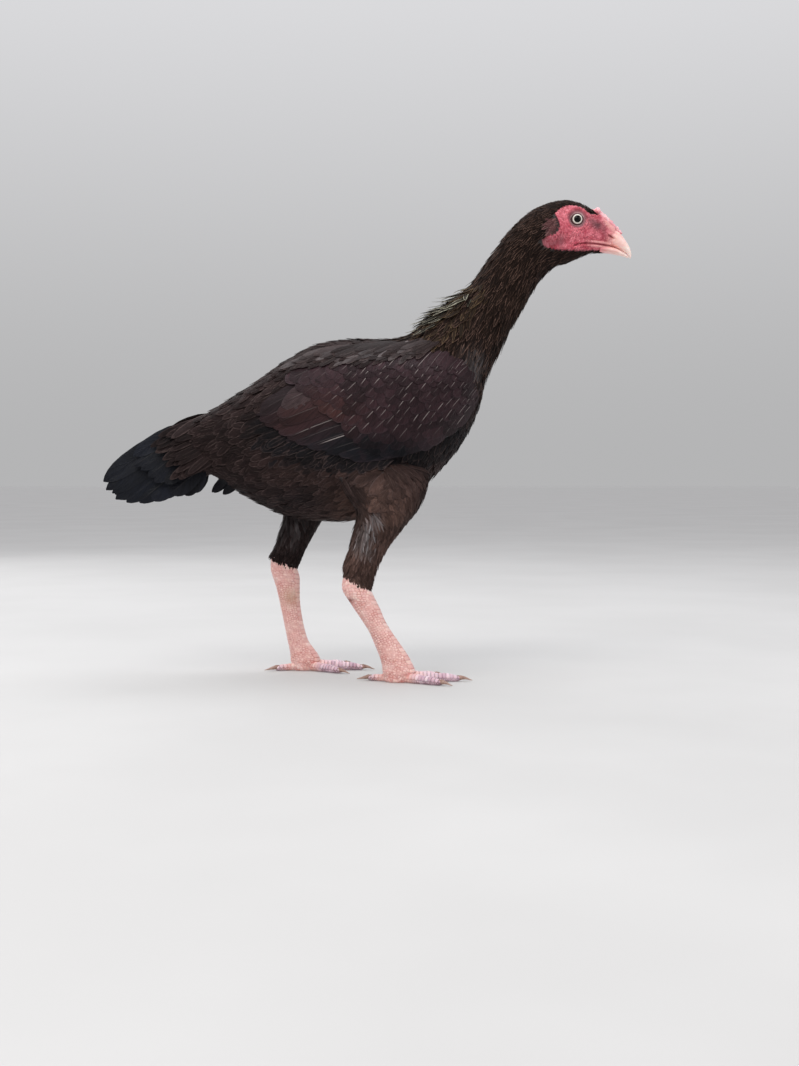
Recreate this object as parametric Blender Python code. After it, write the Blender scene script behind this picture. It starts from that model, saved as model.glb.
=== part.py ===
"""Aseel hen, a still life-size model in a slow walking stance.

Units are metres, +X runs forward to the bill, +Y to the bird's left, +Z up.
The soles stand on z = 0. Places and sizes in the tables are millimetres, forward of
the hips and above the floor, and MM turns them into metres.
"""

import math

import bmesh
import bpy
from mathutils import Matrix, Vector

MM = 0.001
GAP = 0.0003
BODY_SIDES = 24
LEG_SIDES = 14
BILL_SIDES = 12
SIDES = {"left": 1, "right": -1}
PARTS = "aseel_hen"
CUTTERS = "cutters"
PIECES = "pieces"
FLAT_DEG = 0.4
SMOOTH_DEG = 40

# The trunk, neck and head from tail root to bill root, one row for each cross-section:
# dorsal x, dorsal z, ventral x, ventral z, half width.
TRUNK = [
    (-178, 256, -158, 203, 19),
    (-160, 266, -138, 191, 28),
    (-137, 280, -113, 175, 38),
    (-112, 297, -80, 161, 48),
    (-86, 315, -38, 156, 56),
    (-60, 330, 5, 160, 61),
    (-36, 336.5, 38, 176, 64),
    (-12, 338.5, 66, 202, 64),
    (10, 338, 92, 233, 61),
    (28, 339, 108, 264, 54),
    (42, 344, 118, 300, 46),
]
NECK = [
    TRUNK[-1],
    (60, 361, 129, 322, 37),
    (82, 377, 139, 343, 30),
    (99, 390, 148, 359, 26),
    (111, 406, 158, 376, 23),
    (123, 424, 168, 393, 21),
    (136, 441, 178, 404, 20),
    (151, 457, 188, 411.5, 20),
]
HEAD = [
    NECK[-1],
    (162, 466, 193, 412.5, 20.5),
    (175, 472, 199, 414.5, 20.5),
    (188, 475.5, 206, 417.5, 20),
    (200, 476, 214, 421, 19),
    (212, 472.5, 221.5, 423.5, 17.2),
    (223, 466.5, 229, 424, 14.5),
    (234, 459, 234, 424, 11.5),
    (246, 450, 238, 424.5, 8.8),
]
TRUNK_KEEL = 0.18
NECK_KEEL = 0.10
HEAD_KEEL = 0.22

# Feathers. A vane's outline is pairs of place along it and share of its full width.
LONG_VANE = [(0, 0.45), (0.36, 0.94), (0.72, 1), (0.93, 0.68), (1, 0.2)]
SHORT_VANE = [(0, 0.5), (0.4, 1), (0.8, 0.88), (1, 0.22)]
VANE_THICKNESS = 1.0 * MM
VANE_CROWN = 0.4 * MM
VANE_MIDDLE_LEAST = 1.4 * MM
VANE_RISE_AT_ROOT = 0.3

# The folded wing's arm and hand, shoulder to elbow, under its coverts:
# upper edge x, z, lower edge x, z, thickness.
WING_CORE = [
    (111, 290, 113, 276, 3),
    (104, 302, 108, 262, 8),
    (84, 316, 96, 247, 10.5),
    (52, 325, 71, 233, 10.5),
    (18, 327, 41, 226, 9.5),
    (-12, 323, 4, 226, 8),
    (-36, 315, -24, 232, 6),
    (-54, 304, -44, 246, 3),
]
WING_CORE_ACROSS = 6
WING_CORE_EDGE = 0.45
WING_SUNK = 4 * MM
FLANK_REACH = 0.88
FLANK_HALVINGS = 24

# Each tier of vanes: count, roots and tips at its top, middle and bottom as x, z,
# full width, lift off the flank at root and tip, rise of the lower edge over the
# middle, drop in lift from one vane to the next, outline.
WING_TIERS = {
    "primaries": (
        4, ((60, 243), (63, 239), (66, 235)), ((-96, 244), (-73, 230), (-42, 220)),
        15, 1.2, 2.3, 1.2, 0, LONG_VANE,
    ),
    "secondaries": (
        7, ((-20, 313), (22, 282), (62, 249)), ((-117, 277), (-69, 233), (-8, 219)),
        26, 2.2, 5.6, 1.5, 0, LONG_VANE,
    ),
    "greater coverts": (
        7, ((10, 321), (44, 289), (80, 255)), ((-60, 306), (-12, 266), (36, 227)),
        23, 4, 8.6, 1.1, 0, SHORT_VANE,
    ),
    "median coverts": (
        7, ((38, 324), (66, 296), (94, 260)), ((-22, 316), (20, 280), (64, 233)),
        21, 5.5, 10.6, 1.0, 0, SHORT_VANE,
    ),
    "lesser coverts": (
        5, ((62, 320), (84, 302), (102, 276)), ((18, 320), (52, 296), (86, 248)),
        21, 7, 12.2, 0.9, 0, SHORT_VANE,
    ),
}

# The tail: its root flesh as cross-sections, its ridge line, then its tiers.
TAIL_CORE = [
    TRUNK[0],
    (-192, 249, -172, 197, 15),
    (-206, 239, -188, 194, 10),
    (-220, 228, -208, 198, 5),
    (-232, 218, -226, 206, 2),
]
TAIL_KEEL = -0.3
TAIL_RIDGE = ((-178, 256), (-263, 195))
TAIL_DEPTH = 52
TAIL_HALF_AT_RIDGE = 2.2
TAIL_HALF_BELOW = 17
TAIL_NARROWING = 0.6
TAIL_TIERS = {
    "rectrices": (
        6, ((-184, 250), (-176, 228), (-168, 208)), ((-262.7, 195), (-246, 176), (-199, 184)),
        27, -6, 6.2, 0.3, 1.25, LONG_VANE,
    ),
    "upper coverts": (
        4, ((-184, 252), (-176, 240), (-170, 225)), ((-226, 232), (-217, 213), (-200, 196)),
        21, -3, 11, 0.3, 0.9, SHORT_VANE,
    ),
    "under coverts": (
        3, ((-170, 214), (-167, 210), (-165, 206)), ((-204, 186), (-190, 184), (-176, 186)),
        18, -8, -3, 0.3, 1.3, SHORT_VANE,
    ),
}

# Each leg: rear x, z, front x, z, middle y, half width. The last row of the thigh
# is the edge of its feathers, where the bare shank starts.
THIGHS = {
    "right": [
        (-20, 214, 40, 216, 42, 6),
        (-32, 204, 58, 207, 46, 14),
        (-26, 188, 58, 192, 49, 20),
        (-12, 166, 50, 171, 48, 21),
        (-16, 146, 33, 149, 46, 19),
        (-20, 129, 18, 129, 45, 15.5),
        (-25, 113, 8, 108, 45, 12.5),
        (-25, 107, 3, 90, 45, 11),
    ],
    "left": [
        (-92, 206, -46, 210, 38, 6),
        (-108, 197, -28, 201, 43, 14),
        (-101, 180, -34, 184, 47, 20),
        (-91, 162, -47, 161, 47, 20),
        (-95, 144, -58, 142, 46, 17),
        (-99, 130, -67, 126, 45, 14),
        (-104, 120, -75.5, 106, 45, 11.5),
    ],
}
SHANKS = {
    "right": [
        THIGHS["right"][-1],
        (-26, 91, 6, 82, 45, 11),
        (-18, 77, 11, 72, 45, 9.5),
        (-8, 62, 16, 60, 45, 8.5),
        (0.5, 48.5, 22.5, 49, 45, 8.5),
        (6.5, 34.5, 30.5, 37.5, 45, 9),
        (11, 23, 39, 25, 45, 10),
        (13, 15, 44, 15, 45, 11),
    ],
    "left": [
        THIGHS["left"][-1],
        (-103.5, 104, -73.5, 96, 45, 11),
        (-98, 86, -73.5, 83, 45, 9.5),
        (-94, 68, -73, 68, 45, 8.5),
        (-89.5, 46.5, -69.5, 46.5, 45, 8.5),
        (-86.5, 31, -65, 31, 45, 9),
        (-84.5, 22, -59, 22, 45, 10),
        (-83.5, 15, -54, 15, 45, 11),
    ],
}
# Shank scutes: two staggered columns down the front, from and to a share of its length.
SCUTES_A_COLUMN = 8
SCUTE_COLUMN_DEG = 27
SCUTE_STAGGER = 0.25
SCUTE_NEARBY_DEG = 6
SCUTE_FIRST = 0.16
SCUTE_LAST = 0.93
SCUTE_WIDTH = 9.5 * MM
SCUTE_LENGTH = 10.5 * MM
SCUTE_THICKNESS = 2.2 * MM
SCUTE_TILT_DEG = 5
SCUTE_SIDES = 6
SCUTE_TOP = 0.34

# Toes: heading from straight ahead towards the outer side in degrees, length,
# radius, count of scutes on top.
TOES = {
    "inner": (-38, 50, 5.0, 4),
    "middle": (-2, 62, 5.4, 5),
    "outer": (34, 52, 5.0, 4),
    "hind": (197, 31, 4.2, 3),
}
TOE_SIDES = 8
TOE_RINGS = 7
TOE_TAPER = 0.32
TOE_SWELL = 0.07
TOE_BONES = 2.5
TOE_SINK = 0.82
TOE_SCUTES_FROM = 0.3
TOE_SCUTE_FIRST = 0.45
TOE_SCUTE_SUNK = 0.1
TOE_SCUTE_WIDTH = 1.7
TOE_SCUTE_OVERLAP = 1.1
PAD_RADIUS = 13.5 * MM
PAD_WIDTH = 0.82
PAD_LEVELS = [(-4, 0.9), (2, 1.0), (9, 0.98)]
PAD_TOP = 0.86
FLOOR_CUTTER = 0.4
CLAW_LENGTH = 13 * MM
CLAW_RADIUS = 2.9 * MM
CLAW_SIDES = 7
CLAW_RINGS = 5
CLAW_TAPER = 0.86
CLAW_WIDTH = 0.8
CLAW_SAG = 0.3
CLAW_FLOOR = 0.8 * MM

# The bill, root to tip, in rows like the head's. The roots start inside the head
# and are cut back to its face.
BEAK_UPPER = [
    (244.5, 449.2, 236.5, 431.6, 8.2),
    (250.2, 444.4, 242, 430.2, 8.0),
    (254.6, 438.6, 246.8, 428.2, 6.9),
    (258.9, 432.4, 252.4, 425.8, 5.3),
    (261.8, 426.8, 256.8, 423, 3.4),
    (262.7, 421.6, 259.8, 420.2, 1.8),
    (261.6, 418.2, 260.8, 418, 0.7),
]
BEAK_LOWER = [
    (235.6, 431.1, 234.4, 424, 8.0),
    (242, 429.7, 241.4, 423.2, 7.6),
    (247, 427.7, 246.6, 422.1, 6.2),
    (252.4, 425.2, 252, 420.9, 4.2),
    (256.6, 422.6, 256.2, 420.2, 2.0),
]
# Round forms of the head: centre x, y, z, radii, pitch in degrees, nose down.
EYE = (206, 11.8, 455)
EYE_RADIUS = 7 * MM
EYE_SIDES = (13, 8)
LID = (206, 15.6, 455)
LID_RADIUS = 6.3 * MM
LID_THICKNESS = 1.5 * MM
LID_SIDES = (14, 6)
FACE_FORMS = {
    "brow": ((206.5, 14.2, 465), (13.5, 3.4, 3.2), 20),
    "ear_coverts": ((180.6, 18.6, 449.6), (7.4, 3.2, 8.8), 12),
    "ear_lobe": ((180.6, 17, 432.8), (6.8, 3.4, 5.4), -8),
    "jowl": ((207, 13.6, 427.4), (18, 3.4, 4.4), 6),
}
FORM_SIDES = (9, 6)
NOSTRIL = ((244.4, 7.6, 439), (3.4, 2.4, 0.9), 38)
# The line of the mouth from gape to bill, x, z, as a narrow cut in each cheek.
MOUTH_LINE = [(207, 431), (219, 432.2), (230, 431.7), (243, 429.3)]
MOUTH_WIDTH = 0.9
MOUTH_FROM = [15.6, 12.6, 9.6, 6.6]
MOUTH_TO = 26
# The low pea comb: its base in rows like the head's, then rows of knobs along it.
COMB = [
    (222, 467.5, 224, 458, 4.2),
    (229, 467.5, 232, 455, 6),
    (238, 462, 240, 450, 5.6),
    (246, 454.5, 247, 446, 4.2),
    (250.5, 449.4, 250, 446, 2.4),
]
COMB_ROWS = {"middle": (0, 3.1, 1.4), "left": (3.6, 2.5, -0.6), "right": (-3.6, 2.5, -0.6)}
COMB_KNOBS = 5
COMB_FIRST = (225.5, 466.8)
COMB_LAST = (248.5, 451)
COMB_NARROWING = 0.4
KNOB_TAPER = 0.3
KNOB_UNEVEN = 0.12
KNOB_SIDES = (6, 4)

COLOURS = {
    "plumage": ((0.055, 0.032, 0.024, 1), 0.6),
    "tail": ((0.018, 0.017, 0.022, 1), 0.4),
    "skin": ((0.55, 0.10, 0.08, 1), 0.55),
    "comb": ((0.62, 0.16, 0.13, 1), 0.5),
    "horn": ((0.72, 0.48, 0.34, 1), 0.35),
    "shank": ((0.74, 0.45, 0.38, 1), 0.5),
    "claw": ((0.45, 0.34, 0.26, 1), 0.35),
    "eye": ((0.75, 0.74, 0.68, 1), 0.08),
}


def material(slot):
    """Return the Principled material of one kind of surface."""
    made = bpy.data.materials.get(slot)
    if made:
        return made
    made = bpy.data.materials.new(slot)
    made.use_nodes = True
    colour, roughness = COLOURS[slot]
    shader = made.node_tree.nodes["Principled BSDF"]
    shader.inputs["Base Color"].default_value = colour
    shader.inputs["Roughness"].default_value = roughness
    shader.inputs["Metallic"].default_value = 0
    return made


def collection(name):
    """Return the collection of that name, linked to the scene."""
    made = bpy.data.collections.get(name)
    if not made:
        made = bpy.data.collections.new(name)
        bpy.context.scene.collection.children.link(made)
    return made


def place(name, shape, slot, group=PARTS):
    """Turn a bmesh into an object in one collection, with its material."""
    mesh = bpy.data.meshes.new(name)
    shape.to_mesh(mesh)
    shape.free()
    mesh.materials.append(material(slot))
    made = bpy.data.objects.new(name, mesh)
    collection(group).objects.link(made)
    if group != PARTS:
        made.hide_render = True
        made.display_type = "WIRE"
    return made


def skin(name, rings, slot, group=PARTS, turned_from=None):
    """Skin closed rings of equal count into one closed body with flat ends.

    From the point turned_from of each ring on, quads are split the other way, so that
    the two faces of a thin vane are split alike.
    """
    shape = bmesh.new()
    rows = [[shape.verts.new(point) for point in ring] for ring in rings]
    count = len(rows[0])
    for row, following in zip(rows, rows[1:]):
        for i in range(count):
            j = (i + 1) % count
            if turned_from is not None and i >= turned_from:
                shape.faces.new((row[i], row[j], following[i]))
                shape.faces.new((row[j], following[j], following[i]))
            else:
                shape.faces.new((row[i], row[j], following[j]))
                shape.faces.new((row[i], following[j], following[i]))
    ends = [shape.faces.new(rows[0]), shape.faces.new(rows[-1])]
    bmesh.ops.triangulate(shape, faces=ends)
    bmesh.ops.recalc_face_normals(shape, faces=shape.faces)
    return place(name, shape, slot, group)


def section(row, sides, keel=0.0, shift=0.0):
    """Return one upright cross-section, from its two ends in side view.

    keel narrows the ventral side, and shift moves the ring forward along the body.
    """
    top = Vector((row[0], 0, row[1])) * MM
    bottom = Vector((row[2], 0, row[3])) * MM
    half_width = row[-1] * MM
    ahead = Vector((0, 1, 0)).cross(top - bottom).normalized()
    centre = (top + bottom) / 2 + ahead * shift
    ring = []
    for i in range(sides):
        angle = math.tau * i / sides
        up = math.cos(angle)
        across = math.sin(angle) * (1 - keel * (1 - up) / 2)
        ring.append(centre + (top - bottom) / 2 * up + Vector((0, half_width * across, 0)))
    return ring


def lofted(name, rows, sides, keel, slot, ends=(0.0, 0.0), group=PARTS):
    """Loft side-view sections, each end drawn in where it meets its neighbour."""
    rings = []
    for i, row in enumerate(rows):
        shift = 0.0
        if i == 0:
            shift = ends[0]
        if i == len(rows) - 1:
            shift = -ends[1]
        rings.append(section(row, sides, keel, shift))
    return skin(name, rings, slot, group)


def blob(name, centre, radii, slot, group=PARTS, pitch_deg=0, sides=FORM_SIDES):
    """Make one ellipsoid, its centre and radii in metres, with its poles to the sides."""
    shape = bmesh.new()
    bmesh.ops.create_uvsphere(shape, u_segments=sides[0], v_segments=sides[1], radius=1)
    turn = Matrix.Rotation(math.radians(pitch_deg), 4, "Y")
    stretch = Matrix.Diagonal((*radii, 1))
    lay = Matrix.Rotation(math.pi / 2, 4, "X")
    bmesh.ops.transform(
        shape, matrix=Matrix.Translation(centre) @ turn @ stretch @ lay, verts=shape.verts
    )
    bmesh.ops.triangulate(shape, faces=shape.faces)
    return place(name, shape, slot, group)


def keep_largest(shape):
    """Keep only the largest closed surface of a bmesh, its flat faces joined and split."""
    left = set(shape.verts)
    shells = []
    while left:
        shell = []
        stack = [left.pop()]
        while stack:
            vert = stack.pop()
            shell.append(vert)
            for edge in vert.link_edges:
                other = edge.other_vert(vert)
                if other in left:
                    left.remove(other)
                    stack.append(other)
        shells.append(shell)
    shells.sort(key=extent, reverse=True)
    drop = [vert for shell in shells[1:] for vert in shell]
    bmesh.ops.delete(shape, geom=drop, context="VERTS")
    bmesh.ops.dissolve_limit(
        shape, angle_limit=math.radians(FLAT_DEG), verts=shape.verts, edges=shape.edges
    )
    bmesh.ops.triangulate(shape, faces=shape.faces)


def extent(verts):
    """Return the volume of the box around some vertices."""
    size = 1.0
    for axis in range(3):
        places = [vert.co[axis] for vert in verts]
        size *= max(places) - min(places)
    return size


def settle(thing):
    """Apply the object's modifiers, and keep its largest closed surface."""
    depsgraph = bpy.context.evaluated_depsgraph_get()
    made = bpy.data.meshes.new_from_object(thing.evaluated_get(depsgraph))
    thing.modifiers.clear()
    shape = bmesh.new()
    shape.from_mesh(made)
    keep_largest(shape)
    shape.to_mesh(thing.data)
    shape.free()


def cut(thing, cutter):
    """Take one closed shape away from an object."""
    step = thing.modifiers.new("cut", "BOOLEAN")
    step.operation = "DIFFERENCE"
    step.object = cutter
    settle(thing)


def fuse(thing):
    """Join to an object all that lies in the collection of pieces, then remove those."""
    step = thing.modifiers.new("join", "BOOLEAN")
    step.operation = "UNION"
    step.operand_type = "COLLECTION"
    step.collection = collection(PIECES)
    settle(thing)
    for piece in list(collection(PIECES).objects):
        bpy.data.objects.remove(piece)


def grown(thing):
    """Return a cutter: the object's shape pushed out by the gap."""
    shape = bmesh.new()
    shape.from_mesh(thing.data)
    shape.normal_update()
    for vert, move in [(vert, vert.normal * GAP) for vert in shape.verts]:
        vert.co += move
    return place(thing.name + "_room", shape, "plumage", CUTTERS)


def blend(first, second, share):
    """Mix two rows of numbers."""
    return tuple(a + (b - a) * share for a, b in zip(first, second))


def bow(points, share):
    """Return a place on the smooth line through a top, a middle and a bottom point."""
    top, middle, bottom = points
    pull = [2 * m - (a + b) / 2 for a, m, b in zip(top, middle, bottom)]
    return Vector(blend(blend(top, pull, share), blend(pull, bottom, share), share))


def ahead_of(row, point):
    """Tell how far a side-view place lies ahead of a section's line, as an area."""
    top = Vector(row[0:2])
    down = Vector(row[2:4]) - top
    offset = point - top
    return offset.y * down.x - offset.x * down.y


def flank(x, z):
    """Return the trunk's half width in metres at a side-view place in millimetres."""
    point = Vector((x, z))
    low, high = 0.0, len(TRUNK) - 1.0
    for _ in range(FLANK_HALVINGS):
        share = (low + high) / 2
        index = min(int(share), len(TRUNK) - 2)
        row = blend(TRUNK[index], TRUNK[index + 1], share - index)
        if ahead_of(row, point) > 0:
            low = share
        else:
            high = share
    top = Vector(row[0:2])
    bottom = Vector(row[2:4])
    half = (top - bottom) / 2
    up = (point - (top + bottom) / 2).dot(half) / half.length_squared
    reach = max(-FLANK_REACH, min(FLANK_REACH, up))
    across = math.sqrt(1 - reach * reach)
    across -= (up - reach) * reach / across
    return max(0.1, across) * row[4] * (1 - TRUNK_KEEL * (1 - reach) / 2) * MM


def tail_half(x, z):
    """Return the half width of the tented tail at a side-view place."""
    start, end = (Vector(point) for point in TAIL_RIDGE)
    line = end - start
    offset = Vector((x, z)) - start
    along = min(1, max(0, offset.dot(line) / line.length_squared))
    below = (offset.y * line.x - offset.x * line.y) / line.length
    share = min(1, max(0, below / TAIL_DEPTH))
    spread = TAIL_HALF_BELOW * math.sqrt(share) * (1 - TAIL_NARROWING * along)
    return (TAIL_HALF_AT_RIDGE + spread) * MM


def vane(surface, side, root, tip, width, root_lift, tip_lift, rise, outline):
    """Make one feather vane over a surface that gives a half width in side view."""
    line = (tip - root).normalized()
    up = Vector((-line.y, line.x))
    if up.y < 0:
        up = -up
    rings = []
    for share, spread in outline:
        risen = rise * spread * (VANE_RISE_AT_ROOT + (1 - VANE_RISE_AT_ROOT) * share)
        middle = root.lerp(tip, share)
        lift = root_lift + (tip_lift - root_lift) * share
        outer = []
        inner = []
        for edge in (1, 0, -1):
            point = middle + up * edge * spread * width / 2
            y = surface(*point) + (lift - edge * risen) * MM
            y = max(y, VANE_MIDDLE_LEAST)
            crown = VANE_CROWN * (1 - abs(edge))
            outer.append(place_of(point, side * (y + crown + VANE_THICKNESS / 2)))
            inner.append(place_of(point, side * (y + crown - VANE_THICKNESS / 2)))
        rings.append(outer + inner[::-1])
    return skin("vane", rings, "plumage", PIECES, turned_from=3)


def place_of(point, y):
    """Return the place in metres of a side-view point at a given y."""
    return Vector((point.x * MM, y, point.y * MM))


def add_tier(surface, side, tier):
    """Lay one tier of vanes, top to bottom, ready to be fused with its core."""
    count, roots, tips, width, root_lift, tip_lift, rise, drop, outline = tier
    for i in range(count):
        share = i / (count - 1)
        lift = tip_lift - drop * i
        vane(
            surface, side, bow(roots, share), bow(tips, share),
            width, root_lift, lift, rise, outline,
        )


def add_wing(word, room):
    """Lay the folded wing on the trunk's flank: its core, then the tiers of feathers."""
    side = SIDES[word]
    rings = []
    for row in WING_CORE:
        outer = []
        inner = []
        for j in range(WING_CORE_ACROSS + 1):
            share = j / WING_CORE_ACROSS
            point = Vector(blend(row[0:2], row[2:4], share))
            swell = WING_CORE_EDGE + (1 - WING_CORE_EDGE) * math.sin(math.pi * share)
            width = flank(*point)
            outer.append(place_of(point, side * (width + row[4] * MM * swell)))
            inner.append(place_of(point, side * (width - WING_SUNK)))
        rings.append(outer + inner[::-1])
    wing = skin("wing_" + word, rings, "plumage")
    for tier in WING_TIERS.values():
        add_tier(flank, side, tier)
    fuse(wing)
    cut(wing, room)


def add_tail(room):
    """Make the tail's flesh with its tented feathers on both sides."""
    tail = lofted("tail", TAIL_CORE, BODY_SIDES, TAIL_KEEL, "tail", (GAP / 2, 0.0))
    for side in SIDES.values():
        for tier in TAIL_TIERS.values():
            add_tier(tail_half, side, tier)
    fuse(tail)
    cut(tail, room)


def leg_point(row, side, angle):
    """Return a place on a leg's cross-section, at an angle from its front."""
    rear = Vector((row[0], 0, row[1])) * MM
    front = Vector((row[2], 0, row[3])) * MM
    middle = (rear + front) / 2 + Vector((0, side * row[4] * MM, 0))
    across = Vector((0, row[5] * MM * math.sin(angle), 0))
    return middle + (front - rear) / 2 * math.cos(angle) + across


def leg_rings(rows, side, start_shift, end_shift):
    """Return a leg's cross-sections, its ends drawn in along the leg."""
    rings = []
    for i, row in enumerate(rows):
        front_to_rear = Vector((row[0] - row[2], 0, row[1] - row[3]))
        down = Vector((0, 1, 0)).cross(front_to_rear).normalized()
        if down.z > 0:
            down = -down
        shift = Vector()
        if i == 0:
            shift = down * start_shift
        if i == len(rows) - 1:
            shift = -down * end_shift
        angles = [math.tau * k / LEG_SIDES for k in range(LEG_SIDES)]
        rings.append([leg_point(row, side, angle) + shift for angle in angles])
    return rings


def scute(centre, normal, along, width, length):
    """Make one raised plate, sunk in the skin, ready to be fused."""
    shape = bmesh.new()
    bmesh.ops.create_cone(
        shape, cap_ends=True, segments=SCUTE_SIDES, radius1=0.5, radius2=SCUTE_TOP, depth=1
    )
    normal = (normal + along * math.tan(math.radians(SCUTE_TILT_DEG))).normalized()
    across = normal.cross(along).normalized()
    along = across.cross(normal)
    frame = Matrix((along * length, across * width, normal * SCUTE_THICKNESS)).transposed()
    matrix = Matrix.Translation(centre) @ frame.to_4x4()
    bmesh.ops.transform(shape, matrix=matrix, verts=shape.verts)
    bmesh.ops.triangulate(shape, faces=shape.faces)
    bmesh.ops.recalc_face_normals(shape, faces=shape.faces)
    return place("scute", shape, "shank", PIECES)


def add_shank_scutes(rows, side):
    """Lay two staggered columns of scutes down the front of a shank."""
    for column in (1, -1):
        for i in range(SCUTES_A_COLUMN):
            step = (i + SCUTE_STAGGER * column) / (SCUTES_A_COLUMN - 1)
            share = SCUTE_FIRST + (SCUTE_LAST - SCUTE_FIRST) * min(1, max(0, step))
            place_in_rows = share * (len(rows) - 1)
            index = min(int(place_in_rows), len(rows) - 2)
            row = blend(rows[index], rows[index + 1], place_in_rows - index)
            angle = column * math.radians(SCUTE_COLUMN_DEG)
            centre = leg_point(row, side, angle)
            before = leg_point(rows[index], side, angle)
            after = leg_point(rows[index + 1], side, angle)
            along = (after - before).normalized()
            turned = leg_point(row, side, angle + math.radians(SCUTE_NEARBY_DEG)) - centre
            normal = turned.cross(along).normalized()
            if normal.x < 0:
                normal = -normal
            scute(centre, normal, along, SCUTE_WIDTH, SCUTE_LENGTH)


def add_leg(word, room):
    """Make the feathered thigh and the bare shank, then the foot under it."""
    side = SIDES[word]
    thigh = skin("thigh_" + word, leg_rings(THIGHS[word], side, 0, GAP / 2), "plumage")
    cut(thigh, room)
    rows = SHANKS[word]
    shank = skin("shank_" + word, leg_rings(rows, side, GAP / 2, 0), "shank")
    add_shank_scutes(rows, side)
    fuse(shank)
    last = rows[-1]
    ankle = Vector(((last[0] + last[2]) / 2, side * last[4], 0)) * MM
    cut(shank, floor_cutter(ankle + Vector((0, 0, last[3] * MM))))
    add_foot(word, side, ankle, last[3] * MM - GAP)


def floor_cutter(place_now):
    """Return a block whose top face is level at a given place."""
    shape = bmesh.new()
    lower = Vector((0, 0, FLOOR_CUTTER / 2))
    bmesh.ops.create_cube(
        shape, size=FLOOR_CUTTER, matrix=Matrix.Translation(place_now - lower)
    )
    return place("floor_room", shape, "shank", CUTTERS)


def toe_rings(start, ahead, length, radius):
    """Return the rings of one toe from the pad's middle to its flat tip."""
    across = Vector((-ahead.y, ahead.x, 0))
    rings = []
    for i in range(TOE_RINGS):
        share = i / (TOE_RINGS - 1)
        size = toe_radius(radius, share)
        centre = start + ahead * length * share + Vector((0, 0, size * TOE_SINK))
        rings.append(ring_around(centre, across, size, size, TOE_SIDES))
    return rings


def toe_radius(radius, share):
    """Return a toe's radius at a share of its length, swollen between its joints."""
    swell = 1 + TOE_SWELL * math.cos(math.tau * TOE_BONES * share)
    return radius * (1 - TOE_TAPER * share) * swell


def ring_around(centre, across, half_width, half_height, sides):
    """Return an upright ring, its flat direction along across."""
    ring = []
    for k in range(sides):
        angle = math.tau * k / sides
        rise = Vector((0, 0, math.cos(angle) * half_height))
        ring.append(centre + across * math.sin(angle) * half_width + rise)
    return ring


def add_foot(word, side, ankle, top):
    """Make the pad with its four toes and their scutes, flat on the floor, and claws."""
    rings = []
    levels = [(height * MM, share) for height, share in PAD_LEVELS] + [(top, PAD_TOP)]
    for height, share in levels:
        reach = PAD_RADIUS * share
        ring = []
        for i in range(LEG_SIDES):
            angle = math.tau * i / LEG_SIDES
            out = Vector((math.cos(angle) * reach, math.sin(angle) * reach * PAD_WIDTH, height))
            ring.append(ankle + out)
        rings.append(ring)
    foot = skin("foot_" + word, rings, "shank")
    for number, (degrees, length, radius, count) in enumerate(TOES.values(), start=1):
        heading = side * math.radians(degrees)
        ahead = Vector((math.cos(heading), math.sin(heading), 0))
        rings = toe_rings(ankle, ahead, length * MM, radius * MM)
        skin("toe", rings, "shank", PIECES)
        spacing = (1 - TOE_SCUTES_FROM) / count
        for i in range(count):
            share = TOE_SCUTES_FROM + spacing * (i + TOE_SCUTE_FIRST)
            size = toe_radius(radius * MM, share)
            rise = Vector((0, 0, size * (1 + TOE_SINK) - TOE_SCUTE_SUNK * SCUTE_THICKNESS))
            centre = ankle + ahead * length * MM * share + rise
            scute(
                centre, Vector((0, 0, 1)), ahead,
                size * TOE_SCUTE_WIDTH, spacing * length * MM * TOE_SCUTE_OVERLAP,
            )
        add_claw(f"claw_{word}_{number}", rings[-1], ahead)
    fuse(foot)
    cut(foot, floor_cutter(ankle))


def add_claw(name, tip_ring, ahead):
    """Make one claw ahead of its toe, curved down to just above the floor."""
    across = Vector((-ahead.y, ahead.x, 0))
    start = sum(tip_ring, Vector()) / len(tip_ring) + ahead * GAP
    rings = []
    for i in range(CLAW_RINGS):
        share = i / (CLAW_RINGS - 1)
        size = CLAW_RADIUS * (1 - CLAW_TAPER * share)
        centre = start + ahead * CLAW_LENGTH * share
        centre.z = max(start.z - CLAW_LENGTH * CLAW_SAG * share**2, size + CLAW_FLOOR)
        rings.append(ring_around(centre, across, size * CLAW_WIDTH, size, CLAW_SIDES))
    skin(name, rings, "claw")


def add_lid(side):
    """Make the ring of both lids round one eye, ready to be fused."""
    x, y, z = LID
    bpy.ops.mesh.primitive_torus_add(
        major_radius=LID_RADIUS,
        minor_radius=LID_THICKNESS,
        major_segments=LID_SIDES[0],
        minor_segments=LID_SIDES[1],
        location=Vector((x, side * y, z)) * MM,
        rotation=(math.pi / 2, 0, 0),
    )
    lid = bpy.context.object
    for group in lid.users_collection:
        group.objects.unlink(lid)
    collection(PIECES).objects.link(lid)


def mouth_cutter(side):
    """Return the thin wedge that opens the line of the mouth in one cheek."""
    rings = []
    for (x, z), start in zip(MOUTH_LINE, MOUTH_FROM):
        high = z + MOUTH_WIDTH / 2
        low = z - MOUTH_WIDTH / 2
        corners = [(start, z), (MOUTH_TO, high), (MOUTH_TO, low)]
        rings.append([Vector((x, side * y, level)) * MM for y, level in corners])
    return skin("mouth_room", rings, "skin", CUTTERS)


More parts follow.
